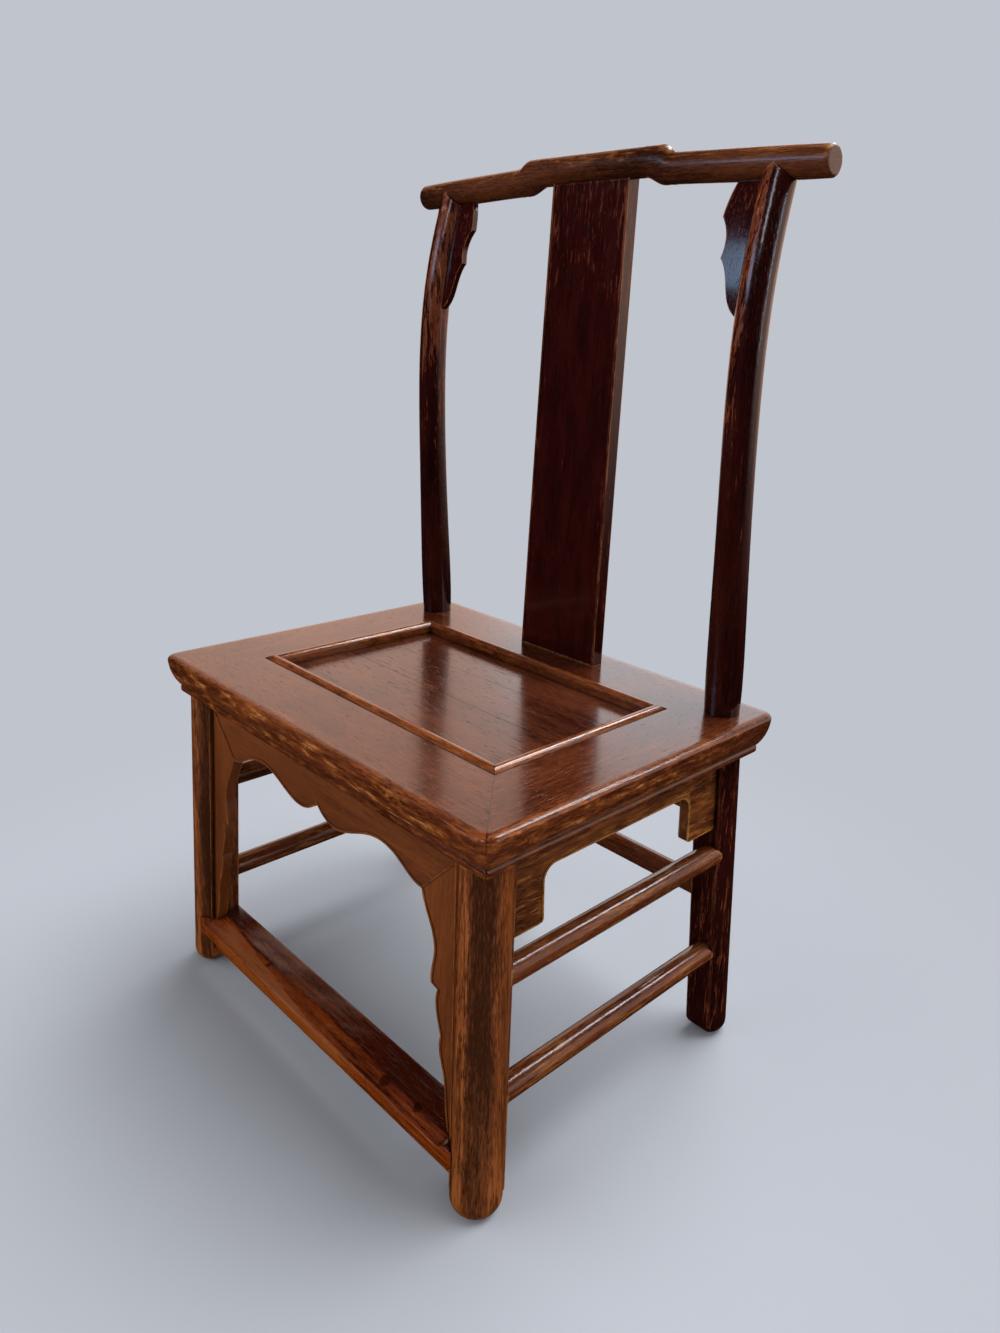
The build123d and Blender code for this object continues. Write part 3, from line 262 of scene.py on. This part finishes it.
corner = Vector((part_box("seat_frame_right")[1][0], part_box("seat_frame_back")[1][1]))
directions = {"front": Vector((0, -1, 0)), "back": Vector((0, 1, 0)),
              "left": Vector((-1, 0, 0)), "right": Vector((1, 0, 0))}
worn_rails = {}
for side, outwards in directions.items():
    rail = worn_copy(f"seat_frame_{side}", f"worn_seat_rail_{side}")
    along = Vector((abs(outwards.y), abs(outwards.x), 0))

    # Cuts across both ends and along the outer edge give the wear its vertices.
    bpy.ops.object.mode_set(mode="EDIT")
    for end in (-1, 1):
        for cut in range(1, CORNER_CUTS + 1):
            reach = corner.dot(along.to_2d()) - KNOCKED_RADIUS * cut / CORNER_CUTS
            bpy.ops.mesh.select_all(action="SELECT")
            bpy.ops.mesh.bisect(plane_co=end * reach * along, plane_no=along)
    for cut in range(1, ROUNDED_CUTS + 1):
        reach = abs(corner.dot(outwards.to_2d())) - ROUNDED_WIDTH * cut / ROUNDED_CUTS
        bpy.ops.mesh.select_all(action="SELECT")
        bpy.ops.mesh.bisect(plane_co=reach * outwards, plane_no=outwards)
    bpy.ops.object.mode_set(mode="OBJECT")

    # The top sinks towards its outer edge, and each corner is drawn in from a square to a circle.
    # Both depend only on the place, so the two rails of a mitre stay together.
    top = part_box(f"seat_frame_{side}")[1][2]
    for vertex in rail.data.vertices:
        inside = min(corner[i] - abs(vertex.co[i]) for i in (0, 1)) / ROUNDED_WIDTH
        below = (top - vertex.co.z) / ROUNDED_DEPTH
        if inside < 1 and below < 1:
            vertex.co.z -= ROUNDED_DROP * (1 - inside) ** 2 * (1 - below)
        over = [abs(vertex.co[i]) - corner[i] + KNOCKED_RADIUS for i in (0, 1)]
        if min(over) > 0:
            pull = max(over) / hypot(*over)
            for i in (0, 1):
                vertex.co[i] = copysign(corner[i] - KNOCKED_RADIUS + pull * over[i], vertex.co[i])
    bpy.ops.mesh.customdata_custom_splitnormals_clear()
    bpy.ops.object.shade_smooth_by_angle(angle=radians(35))
    even = rail.modifiers.new("even", "WEIGHTED_NORMAL")
    even.keep_sharp = True
    bpy.ops.object.modifier_apply(modifier=even.name)
    bpy.ops.object.select_all(action="DESELECT")
    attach(rail, "root")
    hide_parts(f"seat_frame_{side}")
    worn_rails[side] = rail

RUBBED_BORDER = 0.022           # orange border along the outer edges
BEAD_BAND = 0.014               # from the panel's opening to the quirk outside the bead
QUIRK_WIDTH = 0.0012
MITRE_WIDTH = 0.0011            # dirt line along each mitre
SHELTERED = (0.07, 0.13)        # behind this the sitter wears the seat less and less
CHIP = (7, 24)                  # mm up and along the moulding
CHIP_BAND = (-0.03, -0.02)      # chips start this far inside the outer edge


def seat_rubbing(tree, place, normal):
    """Wear along outer edges and bead, chips on the moulding, a dark line along the quirk, and dirt
    in the mitres.
    """
    low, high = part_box("seat_frame_right")
    at = add(tree, "ShaderNodeSeparateXYZ", (place,))
    facing_up = add(tree, "ShaderNodeSeparateXYZ", (normal,)).outputs["Z"]
    past = []
    for axis, half in zip("XY", corner):
        away = add(tree, "ShaderNodeMath", (at.outputs[axis],), operation="ABSOLUTE")
        past.append(add(tree, "ShaderNodeMath", (away, half), operation="SUBTRACT"))
    outside = add(tree, "ShaderNodeMath", past, operation="MAXIMUM")
    from_mitre = add(tree, "ShaderNodeMath", past, operation="SUBTRACT")
    from_quirk = add(tree, "ShaderNodeMath", (outside, high[0] - low[0] - BEAD_BAND),
                     operation="ADD")

    border = add(tree, "ShaderNodeMapRange", (outside, -RUBBED_BORDER, -0.001), **SMOOTH)
    moulding = add(tree, "ShaderNodeMapRange", (facing_up, 0.75, 0.35), **SMOOTH)
    sheltered = add(tree, "ShaderNodeMapRange", (at.outputs["Y"], *SHELTERED), **SMOOTH)
    bead = add(tree, "ShaderNodeMapRange", (from_quirk, -QUIRK_WIDTH, -2 * QUIRK_WIDTH), **SMOOTH)
    outer_band = add(tree, "ShaderNodeMapRange", (outside, *CHIP_BAND), **SMOOTH)
    chip_band = add(tree, "ShaderNodeMath", (outer_band, moulding), operation="MULTIPLY")
    marks = grain_marks(tree, place, "Z", *CHIP, 4.0, 0.6, 0.4)
    chips = add(tree, "ShaderNodeMath", (marks, chip_band), operation="MULTIPLY")
    rubbed = [(sheltered, -0.3), (bead, 0.45), (moulding, -0.04), (border, 0.38), (chips, 2.2)]

    flat = add(tree, "ShaderNodeMapRange", (facing_up, 0.5, 0.9), **SMOOTH)
    for seam, width, depth in ((from_quirk, QUIRK_WIDTH, -1.2), (from_mitre, MITRE_WIDTH, -0.9)):
        apart = add(tree, "ShaderNodeMath", (seam,), operation="ABSOLUTE")
        near = add(tree, "ShaderNodeMapRange", (apart, width, 0.3 * width), **SMOOTH)
        line = add(tree, "ShaderNodeMath", (near, flat), operation="MULTIPLY")
        rubbed.append((line, depth))
    return rubbed


# Red-brown brushed lacquer that sitting has polished gives long soft reflections inside an orange
# border. The grain runs along each rail, so the side rails' material is turned.
seat_tones = ("#341308", "#683319", "#904D20", "#BA8246")
for axis, sides in (("X", ("front", "back")), ("Y", ("left", "right"))):
    rail_lacquer = worn_lacquer(f"polished_red_lacquer_along_{axis}", axis, seat_tones, 0.12, 0.15,
                                streak=(60, 3), patch=(26, 9), crack=(14, 1.5), edges=0.0,
                                relief=0.06, flake=0.5, mottle=0.9, places=seat_rubbing)
    for side in sides:
        finish(nodes[f"seat_frame_{side}"], rail_lacquer)
        finish(worn_rails[side], rail_lacquer)


# ---- Seat panel ----
# Three thin elm boards, sunk below the frame, tongued into one another and into the rails' grooves.
# They have the frame's lacquer, kept darker and flatter, with open pores along the grain.

# Red-brown brushed lacquer over open pores mirrors softly, and short dark cracks break it up.
panel_tones = ("#32120A", "#60301C", "#854820", "#A06A34")
panel_lacquer = worn_lacquer("pored_red_lacquer_on_panel", "X", panel_tones, 0.2, 0.15,
                             streak=(60, 3), patch=(40, 9), crack=(18, 1.6), edges=0.2, relief=0.08)
for name in ("seat_panel_front", "seat_panel_middle", "seat_panel_rear"):
    finish(nodes[name], panel_lacquer)


# ---- Battens and pegs ----
# Two softwood battens, dovetailed across the panel's underside and tenoned into the rails, and the
# round pegs that are driven through the joints. All are left as sawn and never lacquered.

# Sawn fir is pale, dry and without a shine. Saw and raised grain make the marks here.
fir_tones = ("#6A4A2A", "#8A6842", "#9A7850", "#B08C60")
sawn_fir = worn_lacquer("sawn_fir", "Y", fir_tones, 0.5, 0.6)
for name in ("panel_batten_left", "panel_batten_right", "seat_frame_pegs", "crest_pegs"):
    finish(nodes[name], sawn_fir)


# ---- Aprons ----
# Sawn elm boards with a fine bead along their carved edges, let into grooves in the legs and the
# frame. Hands don't reach the front ones, so their brown lacquer is even and rather dull, while
# the side ones are rubbed.
front_tones = ("#5A2A0C", "#763B10", "#864A18", "#B07830")
side_tones = ("#341606", "#743E1A", "#945822", "#BC8438")

# Brown brushed lacquer that was never polished looks even and dull. The grain runs across the
# aprons, and up the carved pieces beside the legs.
apron_lacquer = worn_lacquer("dull_brown_lacquer_on_aprons", "X", front_tones, 0.12, 0.4,
                             crack=(60, 0.8), edges=0.6)
side_piece_lacquer = worn_lacquer("dull_brown_lacquer_on_side_pieces", "Z", front_tones, 0.15,
                                  0.38, crack=(60, 0.8), edges=0.6)
# Brown brushed lacquer, rubbed by hands and legs, is mottled with golden scratches.
side_apron_lacquer = worn_lacquer("scratched_brown_lacquer_on_side_aprons", "Y", side_tones, 0.40,
                                  0.3, streak=(50, 5), patch=(40, 9), edges=0.6)
for name in ("front_apron", "rear_apron"):
    finish(nodes[name], apron_lacquer)
for side in ("left", "right"):
    finish(nodes[f"front_apron_{side}_side"], side_piece_lacquer)
    finish(nodes[f"{side}_side_apron"], side_apron_lacquer)


# ---- Stretchers ----
# Round elm bars, two on each side and one at the back, with scribed shoulders and round tenons in
# the legs and posts. Hands and shoes have polished the side ones bright.
rung_tones = ("#3A160A", "#683418", "#8A5426", "#A87034")

# Brown brushed lacquer, polished by handling, shows a bright line of light down each bar.
rung_lacquer = worn_lacquer("handled_brown_lacquer_on_stretchers", "Y", rung_tones, 0.42, 0.13,
                            streak=(80, 3), patch=(60, 6), relief=0.1)
# The rear one is handled less, so it is darker and softer.
rear_rung_lacquer = worn_lacquer("brown_lacquer_on_rear_stretcher", "X", rung_tones, 0.25, 0.2,
                                 streak=(80, 4), patch=(60, 9))
for side in ("left", "right"):
    for level in ("upper", "lower"):
        finish(nodes[f"{side}_{level}_stretcher"], rung_lacquer)
finish(nodes["rear_stretcher"], rear_rung_lacquer)


# ---- Footrest ----
# A flat elm bar, notched round the front legs and tenoned into them, over a thin strip. Feet have
# hollowed its front edge down to orange wood between two unworn ends and rounded its arrises,
# while the back of its top keeps the dark lacquer.
WEAR_DROP = 0.0062              # at the front edge
WEAR_DEPTH = (0.020, 0.012)     # from front to back, at the left and right ends
WEAR_END = 0.007                # length of the rise to each unworn end
UNWORN_END = (0.010, 0.013)     # left and right, from the bar's end
RIPPLE = 0.0005                 # unevenness of the worn wood
GRID = 0.0015                   # of the mesh that is worn down
ARRIS_PASSES = 4                # of smoothing, which rounds the arrises

footrest = worn_copy("footrest", "worn_footrest")
remesh = footrest.modifiers.new("remesh", "REMESH")
remesh.mode = "VOXEL"
remesh.voxel_size = GRID
bpy.ops.object.modifier_apply(modifier=remesh.name)

# Whatever stands above the hollow's surface sinks onto it.
low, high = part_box("footrest")
for vertex in footrest.data.vertices:
    x, y, z = vertex.co
    share = (x - low[0]) / (high[0] - low[0])
    depth = WEAR_DEPTH[0] + (WEAR_DEPTH[1] - WEAR_DEPTH[0]) * share
    from_end = min(x - low[0] - UNWORN_END[0], high[0] - x - UNWORN_END[1])
    rise = min(max(from_end / WEAR_END, 0.0), 1.0)
    slope = max(1.0 - (y - low[1]) / depth, 0.0)
    ripple = RIPPLE * noise.noise(Vector((x * 30, y * 60, 0)))
    worn_top = high[2] - WEAR_DROP * rise * rise * (3 - 2 * rise) * slope + ripple * rise
    if z > worn_top:
        vertex.co.z = worn_top
soften = footrest.modifiers.new("soften", "SMOOTH")
soften.iterations = ARRIS_PASSES
bpy.ops.object.modifier_apply(modifier=soften.name)
bpy.ops.object.shade_smooth()
bpy.ops.object.select_all(action="DESELECT")
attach(footrest, "root")
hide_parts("footrest")

BARED_LINE = (-0.179, -0.0694, 0.176)           # Y of the bared wood's back edge: a + bX + cX2
BARED_EDGE = (-0.0025, 0.0015)                  # how softly it starts there
RUBBED_MIDDLE = ((-0.19, -0.16), (0.13, 0.02))  # X of where the whole top starts to be rubbed
CRACK = ((-0.1466, -0.1504, 0.0614), (-0.123, -0.1553, 0.0614), (-0.0903, -0.1612, 0.0614))
CRACK_WIDTH = (0.0009, 0.0003)                  # half widths, of its soft edge and its dark middle
KNOTS = ((-0.092, -0.167, 0.0600, 0.004), (0.116, -0.172, 0.0590, 0.007),
         (0.160, -0.170, 0.0600, 0.006))        # middle and radius
KNOT_RINGS = (12, 6)                            # mm


def foot_rubbing(tree, place, normal):
    """Feet have bared the front edge, widely at the left end and narrowly at the right.

    A crack that bends twice and three ragged knots are dark.
    """
    at = add(tree, "ShaderNodeSeparateXYZ", (place,))
    facing = add(tree, "ShaderNodeSeparateXYZ", (normal,))
    a, b, c = BARED_LINE
    slant = add(tree, "ShaderNodeMath", (at.outputs["X"], c, b), operation="MULTIPLY_ADD")
    line = add(tree, "ShaderNodeMath", (slant, at.outputs["X"], a), operation="MULTIPLY_ADD")
    ahead = add(tree, "ShaderNodeMath", (line, at.outputs["Y"]), operation="SUBTRACT")
    hollow = add(tree, "ShaderNodeMapRange", (ahead, *BARED_EDGE), **SMOOTH)
    front_face = add(tree, "ShaderNodeMapRange", (facing.outputs["Y"], -0.25, -0.5), **SMOOTH)
    bared = add(tree, "ShaderNodeMath", (hollow, front_face), operation="MAXIMUM")
    from_ends = [add(tree, "ShaderNodeMapRange", (at.outputs["X"], *limits), **SMOOTH)
                 for limits in RUBBED_MIDDLE]
    middle = add(tree, "ShaderNodeMath", from_ends, operation="MULTIPLY")
    rubbed = [(middle, 0.32), (bared, 0.5)]

    for start, end in zip(CRACK, CRACK[1:]):
        run = Vector(end) - Vector(start)
        from_start = add(tree, "ShaderNodeVectorMath", (place, start), operation="SUBTRACT")
        share = add(tree, "ShaderNodeVectorMath", (from_start, run / run.length_squared),
                    operation="DOT_PRODUCT")
        held = add(tree, "ShaderNodeClamp", (share,))
        nearest = add(tree, "ShaderNodeVectorMath", {0: run, "Scale": held}, operation="SCALE")
        apart = add(tree, "ShaderNodeVectorMath", (from_start, nearest), operation="DISTANCE")
        rubbed.append((add(tree, "ShaderNodeMapRange", (apart, *CRACK_WIDTH), **SMOOTH), -2.0))
    for *knot, size in KNOTS:
        apart = add(tree, "ShaderNodeVectorMath", (place, knot), operation="DISTANCE")
        rings = grain_marks(tree, place, "X", *KNOT_RINGS, 3.0, 0.6)
        ragged = add(tree, "ShaderNodeMath", (rings, size, apart), operation="MULTIPLY_ADD")
        rubbed.append((add(tree, "ShaderNodeMapRange", (ragged, size, 0.2 * size), **SMOOTH), -0.6))
    return rubbed


# Maroon brushed lacquer that shoes have thinned glows orange in front and is nearly black behind.
footrest_tones = ("#260804", "#501B0A", "#84390A", "#92490C")
footrest_lacquer = worn_lacquer("foot_worn_maroon_lacquer", "X", footrest_tones, 0.16, 0.15,
                                streak=(120, 4), patch=(50, 10), crack=(40, 0.9), edges=0.2,
                                relief=0.08, flake=0.5, mottle=0.7, places=foot_rubbing)
finish(footrest, footrest_lacquer)
finish(nodes["footrest"], footrest_lacquer)
finish(nodes["footrest_apron"], footrest_lacquer)


# ---- Splat and spandrels ----
# A plain elm board, sawn to a curve and tongued into the back rail and the crest, and two small
# carved brackets in the corners of posts and crest. All have the posts' maroon lacquer.
SPLAT_RIM = (0.036, 0.050)      # the splat is rubbed more from here out to its edges
BEYOND_SPLAT = (0.060, 0.056)   # and not beyond them, where the spandrels are
SPLAT_FOOT = (0.3592, 0.3582)   # light line just above the seat
SPLAT_HEAD = (0.68, 0.76)       # shoulders rub it up here


def splat_rubbing(tree, place, normal):
    """Lacquer has flaked down both edges of the splat and where shoulders lean; a light line runs
    at its foot.
    """
    at = add(tree, "ShaderNodeSeparateXYZ", (place,))
    across = add(tree, "ShaderNodeMath", (at.outputs["X"],), operation="ABSOLUTE")
    near_edge = add(tree, "ShaderNodeMapRange", (across, *SPLAT_RIM), **SMOOTH)
    on_splat = add(tree, "ShaderNodeMapRange", (across, *BEYOND_SPLAT), **SMOOTH)
    rim = add(tree, "ShaderNodeMath", (near_edge, on_splat), operation="MULTIPLY")
    foot = add(tree, "ShaderNodeMapRange", (at.outputs["Z"], *SPLAT_FOOT), **SMOOTH)
    head = add(tree, "ShaderNodeMapRange", (at.outputs["Z"], *SPLAT_HEAD), **SMOOTH)
    return (head, 0.2), (foot, 0.7), (rim, 0.16)


# Maroon brushed lacquer, whole but for fine scratches, is like dark glass with thin orange nicks.
splat_tones = ("#1C0404", "#300907", "#5A2412", "#8E5428")
splat_lacquer = worn_lacquer("scratched_maroon_lacquer_on_splat", "Z", splat_tones, 0.2, 0.14,
                             streak=(50, 1.8), patch=(24, 3.5), relief=0.05, flake=0.16,
                             places=splat_rubbing)
for name in ("splat", "crest_spandrel_left", "crest_spandrel_right"):
    finish(nodes[name], splat_lacquer)


# ---- Crest rail ----
# A round elm yoke with a raised middle, set down over the posts' tenons and pegged. Hands that lift
# the chair have rubbed the top of its brown lacquer golden; its underside is painted dark, partly
# as painted shade.
KNOCKED_END = (0.006, 0.001)    # how far inside its ends the knocked rims start, and are barest


def crest_rubbing(tree, place, normal):
    """Hands rub the top of the crest, and its upper side is also painted lighter than its underside
    as painted light. The rims of its ends are knocked bare, the end grain dark.
    """
    at = add(tree, "ShaderNodeSeparateXYZ", (place,))
    facing = add(tree, "ShaderNodeSeparateXYZ", (normal,))
    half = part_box("crest_rail")[1][0]
    away = add(tree, "ShaderNodeMath", (at.outputs["X"],), operation="ABSOLUTE")
    rim = add(tree, "ShaderNodeMapRange", (away, half - KNOCKED_END[0], half - KNOCKED_END[1]),
              **SMOOTH)
    sideways = add(tree, "ShaderNodeMath", (facing.outputs["X"],), operation="ABSOLUTE")
    end_grain = add(tree, "ShaderNodeMapRange", (sideways, 0.8, 0.95), **SMOOTH)
    # The top is rubbed more: this is partly wear and partly painted light above and painted shade
    # below.
    top = add(tree, "ShaderNodeMapRange", (facing.outputs["Z"], -0.2, 0.8), **SMOOTH)
    return (end_grain, -0.6), (rim, 0.2), (top, 0.34)


# Brown brushed lacquer, worn by hands, is satin, golden on top and nearly black below, partly
# painted light and shade.
crest_tones = ("#2A1006", "#5A2C14", "#824C20", "#AA7636")
crest_lacquer = worn_lacquer("hand_worn_brown_lacquer_on_crest", "X", crest_tones, 0.20, 0.25,
                             streak=(60, 3), patch=(36, 8), places=crest_rubbing)
finish(nodes["crest_rail"], crest_lacquer)


# ---- Floor ----
# Plain pale blue-grey paper that runs out into the backdrop of the same shade. Far out, only the
# camera sees it, so that the backdrop alone lights the chair from there.
BACKDROP = "#C0C4CD"
PAPER = "#AEB2BA"
FLOOR_RADIUS = 6.0
FADE = (0.28, 0.85)             # how far from the middle the paper starts to go, and is gone

bpy.ops.mesh.primitive_circle_add(vertices=64, radius=FLOOR_RADIUS, fill_type="NGON")
floor = bpy.context.object
floor.name = "floor"
floor.visible_glossy = False
paper = bpy.data.materials.new("matt_backdrop_paper")
paper.use_nodes = True
tree = paper.node_tree
tree.nodes.clear()
spot = add(tree, "ShaderNodeTexCoord").outputs["Object"]
away = add(tree, "ShaderNodeVectorMath", (spot,), operation="LENGTH")
far = add(tree, "ShaderNodeMapRange", (away, *FADE), **SMOOTH)
matt = add(tree, "ShaderNodeBsdfDiffuse", {"Color": linear(PAPER)})
clear = add(tree, "ShaderNodeBsdfTransparent")
alike = add(tree, "ShaderNodeEmission", {"Color": linear(BACKDROP)})
seen_directly = add(tree, "ShaderNodeLightPath").outputs["Is Camera Ray"]
gone = add(tree, "ShaderNodeMixShader", (seen_directly, clear, alike))
both = add(tree, "ShaderNodeMixShader", (far, matt, gone))
add(tree, "ShaderNodeOutputMaterial", {"Surface": both})
floor.data.materials.append(paper)


# ---- Light ----
# A pale backdrop, soft light from above and behind, and two weaker fills. What the lacquer mirrors
# is set apart: a bright wall behind with a window's glow in it, a dim room in front, and five
# windows that are seen only as reflections.
AMBIENT = "#E6E8EE"
AMBIENT_STRENGTH = 0.26
WALL = "#FBD6C4"
WALL_STRENGTH = 1.25
FLOOR_LINE = (-0.25, 0.1)       # Z of the directions between which the floor turns to wall
CEILING_LINE = (0.64, 0.48)     # Z of those between which the ceiling turns to wall
FRONT_LINE = (-0.05, 0.5)       # Y of those between which the dim front turns to wall
ROOM_STRENGTH = 0.008
CEILING_SHARE = 0.07            # of the wall's strength
GLOW = "#F0F2F8"
GLOW_STRENGTH = 0.55            # on top of the wall's
GLOW_DIRECTION = (-0.57, 0.78, 0.26)
GLOW_SPREAD = (0.968, 0.992)    # cosines off that direction at which it starts, and is full

world = bpy.data.worlds.new("studio")
bpy.context.scene.world = world
world.use_nodes = True
tree = world.node_tree
tree.nodes.clear()
path = add(tree, "ShaderNodeLightPath")
direction = add(tree, "ShaderNodeTexCoord").outputs["Generated"]
parts = add(tree, "ShaderNodeSeparateXYZ", (direction,))
above_floor = add(tree, "ShaderNodeMapRange", (parts.outputs["Z"], *FLOOR_LINE), **SMOOTH)
below_ceiling = add(tree, "ShaderNodeMapRange", (parts.outputs["Z"], *CEILING_LINE), **SMOOTH)
upper = add(tree, "ShaderNodeMath", (below_ceiling, 1.0 - CEILING_SHARE, CEILING_SHARE),
            operation="MULTIPLY_ADD")
level = add(tree, "ShaderNodeMath", (above_floor, upper), operation="MULTIPLY")
back_half = add(tree, "ShaderNodeMapRange", (parts.outputs["Y"], *FRONT_LINE), **SMOOTH)
behind = add(tree, "ShaderNodeMath", (back_half, level), operation="MULTIPLY")
towards_glow = add(tree, "ShaderNodeVectorMath", (direction, GLOW_DIRECTION),
                   operation="DOT_PRODUCT")
glow = add(tree, "ShaderNodeMapRange", (towards_glow, *GLOW_SPREAD), **SMOOTH)
strength = add(tree, "ShaderNodeMath", (glow, GLOW_STRENGTH, WALL_STRENGTH),
               operation="MULTIPLY_ADD")
mirrored = add(tree, "ShaderNodeMath", (behind, strength, ROOM_STRENGTH), operation="MULTIPLY_ADD")
wall = add(tree, "ShaderNodeMix", {"Factor": glow, "A": linear(WALL), "B": linear(GLOW)},
           data_type="RGBA")
seen = add(tree, "ShaderNodeBackground", {"Color": linear(BACKDROP), "Strength": 1.0})
mirror = add(tree, "ShaderNodeBackground", {"Color": wall, "Strength": mirrored})
ambient = add(tree, "ShaderNodeBackground", {"Color": linear(AMBIENT),
                                             "Strength": AMBIENT_STRENGTH})
unseen = add(tree, "ShaderNodeMixShader", (path.outputs["Is Glossy Ray"], ambient, mirror))
sky = add(tree, "ShaderNodeMixShader", (path.outputs["Is Camera Ray"], unseen, seen))
add(tree, "ShaderNodeOutputWorld", {"Surface": sky})


def soft_sun(name, towards, spread, strength):
    """An even soft light from one side, which the lacquer doesn't mirror."""
    sun = bpy.data.lights.new(name, "SUN")
    sun.angle = radians(spread)
    sun.energy = strength
    lit = bpy.data.objects.new(name, sun)
    lit.rotation_euler = Vector(towards).to_track_quat("Z", "Y").to_euler()
    lit.visible_glossy = False
    bpy.context.scene.collection.objects.link(lit)


def window(name, position, aim, width, height, watts, colour):
    """A bright rectangle that is seen only as a reflection."""
    lamp = bpy.data.lights.new(name, "AREA")
    lamp.shape = "RECTANGLE"
    lamp.size = width
    lamp.size_y = height
    lamp.energy = watts
    lamp.color = linear(colour)[:3]
    pane = bpy.data.objects.new(name, lamp)
    pane.location = position
    pane.rotation_euler = (Vector(position) - Vector(aim)).to_track_quat("Z", "Y").to_euler()
    pane.visible_diffuse = False
    bpy.context.scene.collection.objects.link(pane)


soft_sun("sun_behind", (0.12, 0.50, 0.86), 56, 3.4)
soft_sun("fill_left", (-0.6, -0.78, 0.16), 80, 2.2)
soft_sun("fill_right", (0.95, -0.15, 0.16), 80, 1.2)
# The seat mirrors the first, its right edge and the stretchers the second, the right spandrel the
# third, and the right post the last two.
window("window_behind", (-0.09, 1.77, 2.58), (0.2, 0.0, 0.3), 0.7, 1.1, 34.0, "#FFFFFF")
window("window_beside", (0.72, 1.45, 2.1), (0.23, 0.0, 0.25), 0.22, 0.8, 11.0, "#F4F6FF")
window("window_front", (-0.9, -1.95, 1.62), (0.18, 0.157, 0.75), 1.0, 0.4, 7.5, "#9CC4EA")
window("window_high", (0.54, -1.70, 2.07), (0.2, 0.15, 0.75), 0.3, 0.6, 5.0, "#E8EAF0")
window("window_right", (2.6, 0.9, 1.6), (0.2, 0.15, 0.75), 0.2, 1.6, 8.0, "#B8CCE4")

bpy.context.scene.view_settings.view_transform = "Standard"


# ---- Camera ----
# Held at about table height off the chair's front right corner, turned down and tilted slightly.
# The lens is shifted, because its axis doesn't meet the render's middle.
IMAGE_WIDTH = 1000
IMAGE_HEIGHT = 1333
FOCAL = 953.17                  # pixels
CENTRE = (553.43, 641.94)       # pixel that the lens axis meets
EYE = (0.67504, -0.56662, 0.68964)
YAW = radians(43.952)           # from +Y towards -X
PITCH = radians(18.097)         # downwards
ROLL = radians(2.727)
SENSOR = 36.0

camera_data = bpy.data.cameras.new("camera")
camera_data.sensor_fit = "AUTO"
camera_data.sensor_width = SENSOR
camera_data.lens = FOCAL * SENSOR / IMAGE_HEIGHT
camera_data.shift_x = (IMAGE_WIDTH / 2 - CENTRE[0]) / IMAGE_HEIGHT
camera_data.shift_y = (CENTRE[1] - IMAGE_HEIGHT / 2) / IMAGE_HEIGHT
camera = bpy.data.objects.new("camera", camera_data)
turn = (Matrix.Rotation(YAW, 4, "Z") @ Matrix.Rotation(radians(90) - PITCH, 4, "X")
        @ Matrix.Rotation(ROLL, 4, "Z"))
camera.matrix_world = Matrix.Translation(EYE) @ turn
bpy.context.scene.collection.objects.link(camera)
bpy.context.scene.camera = camera
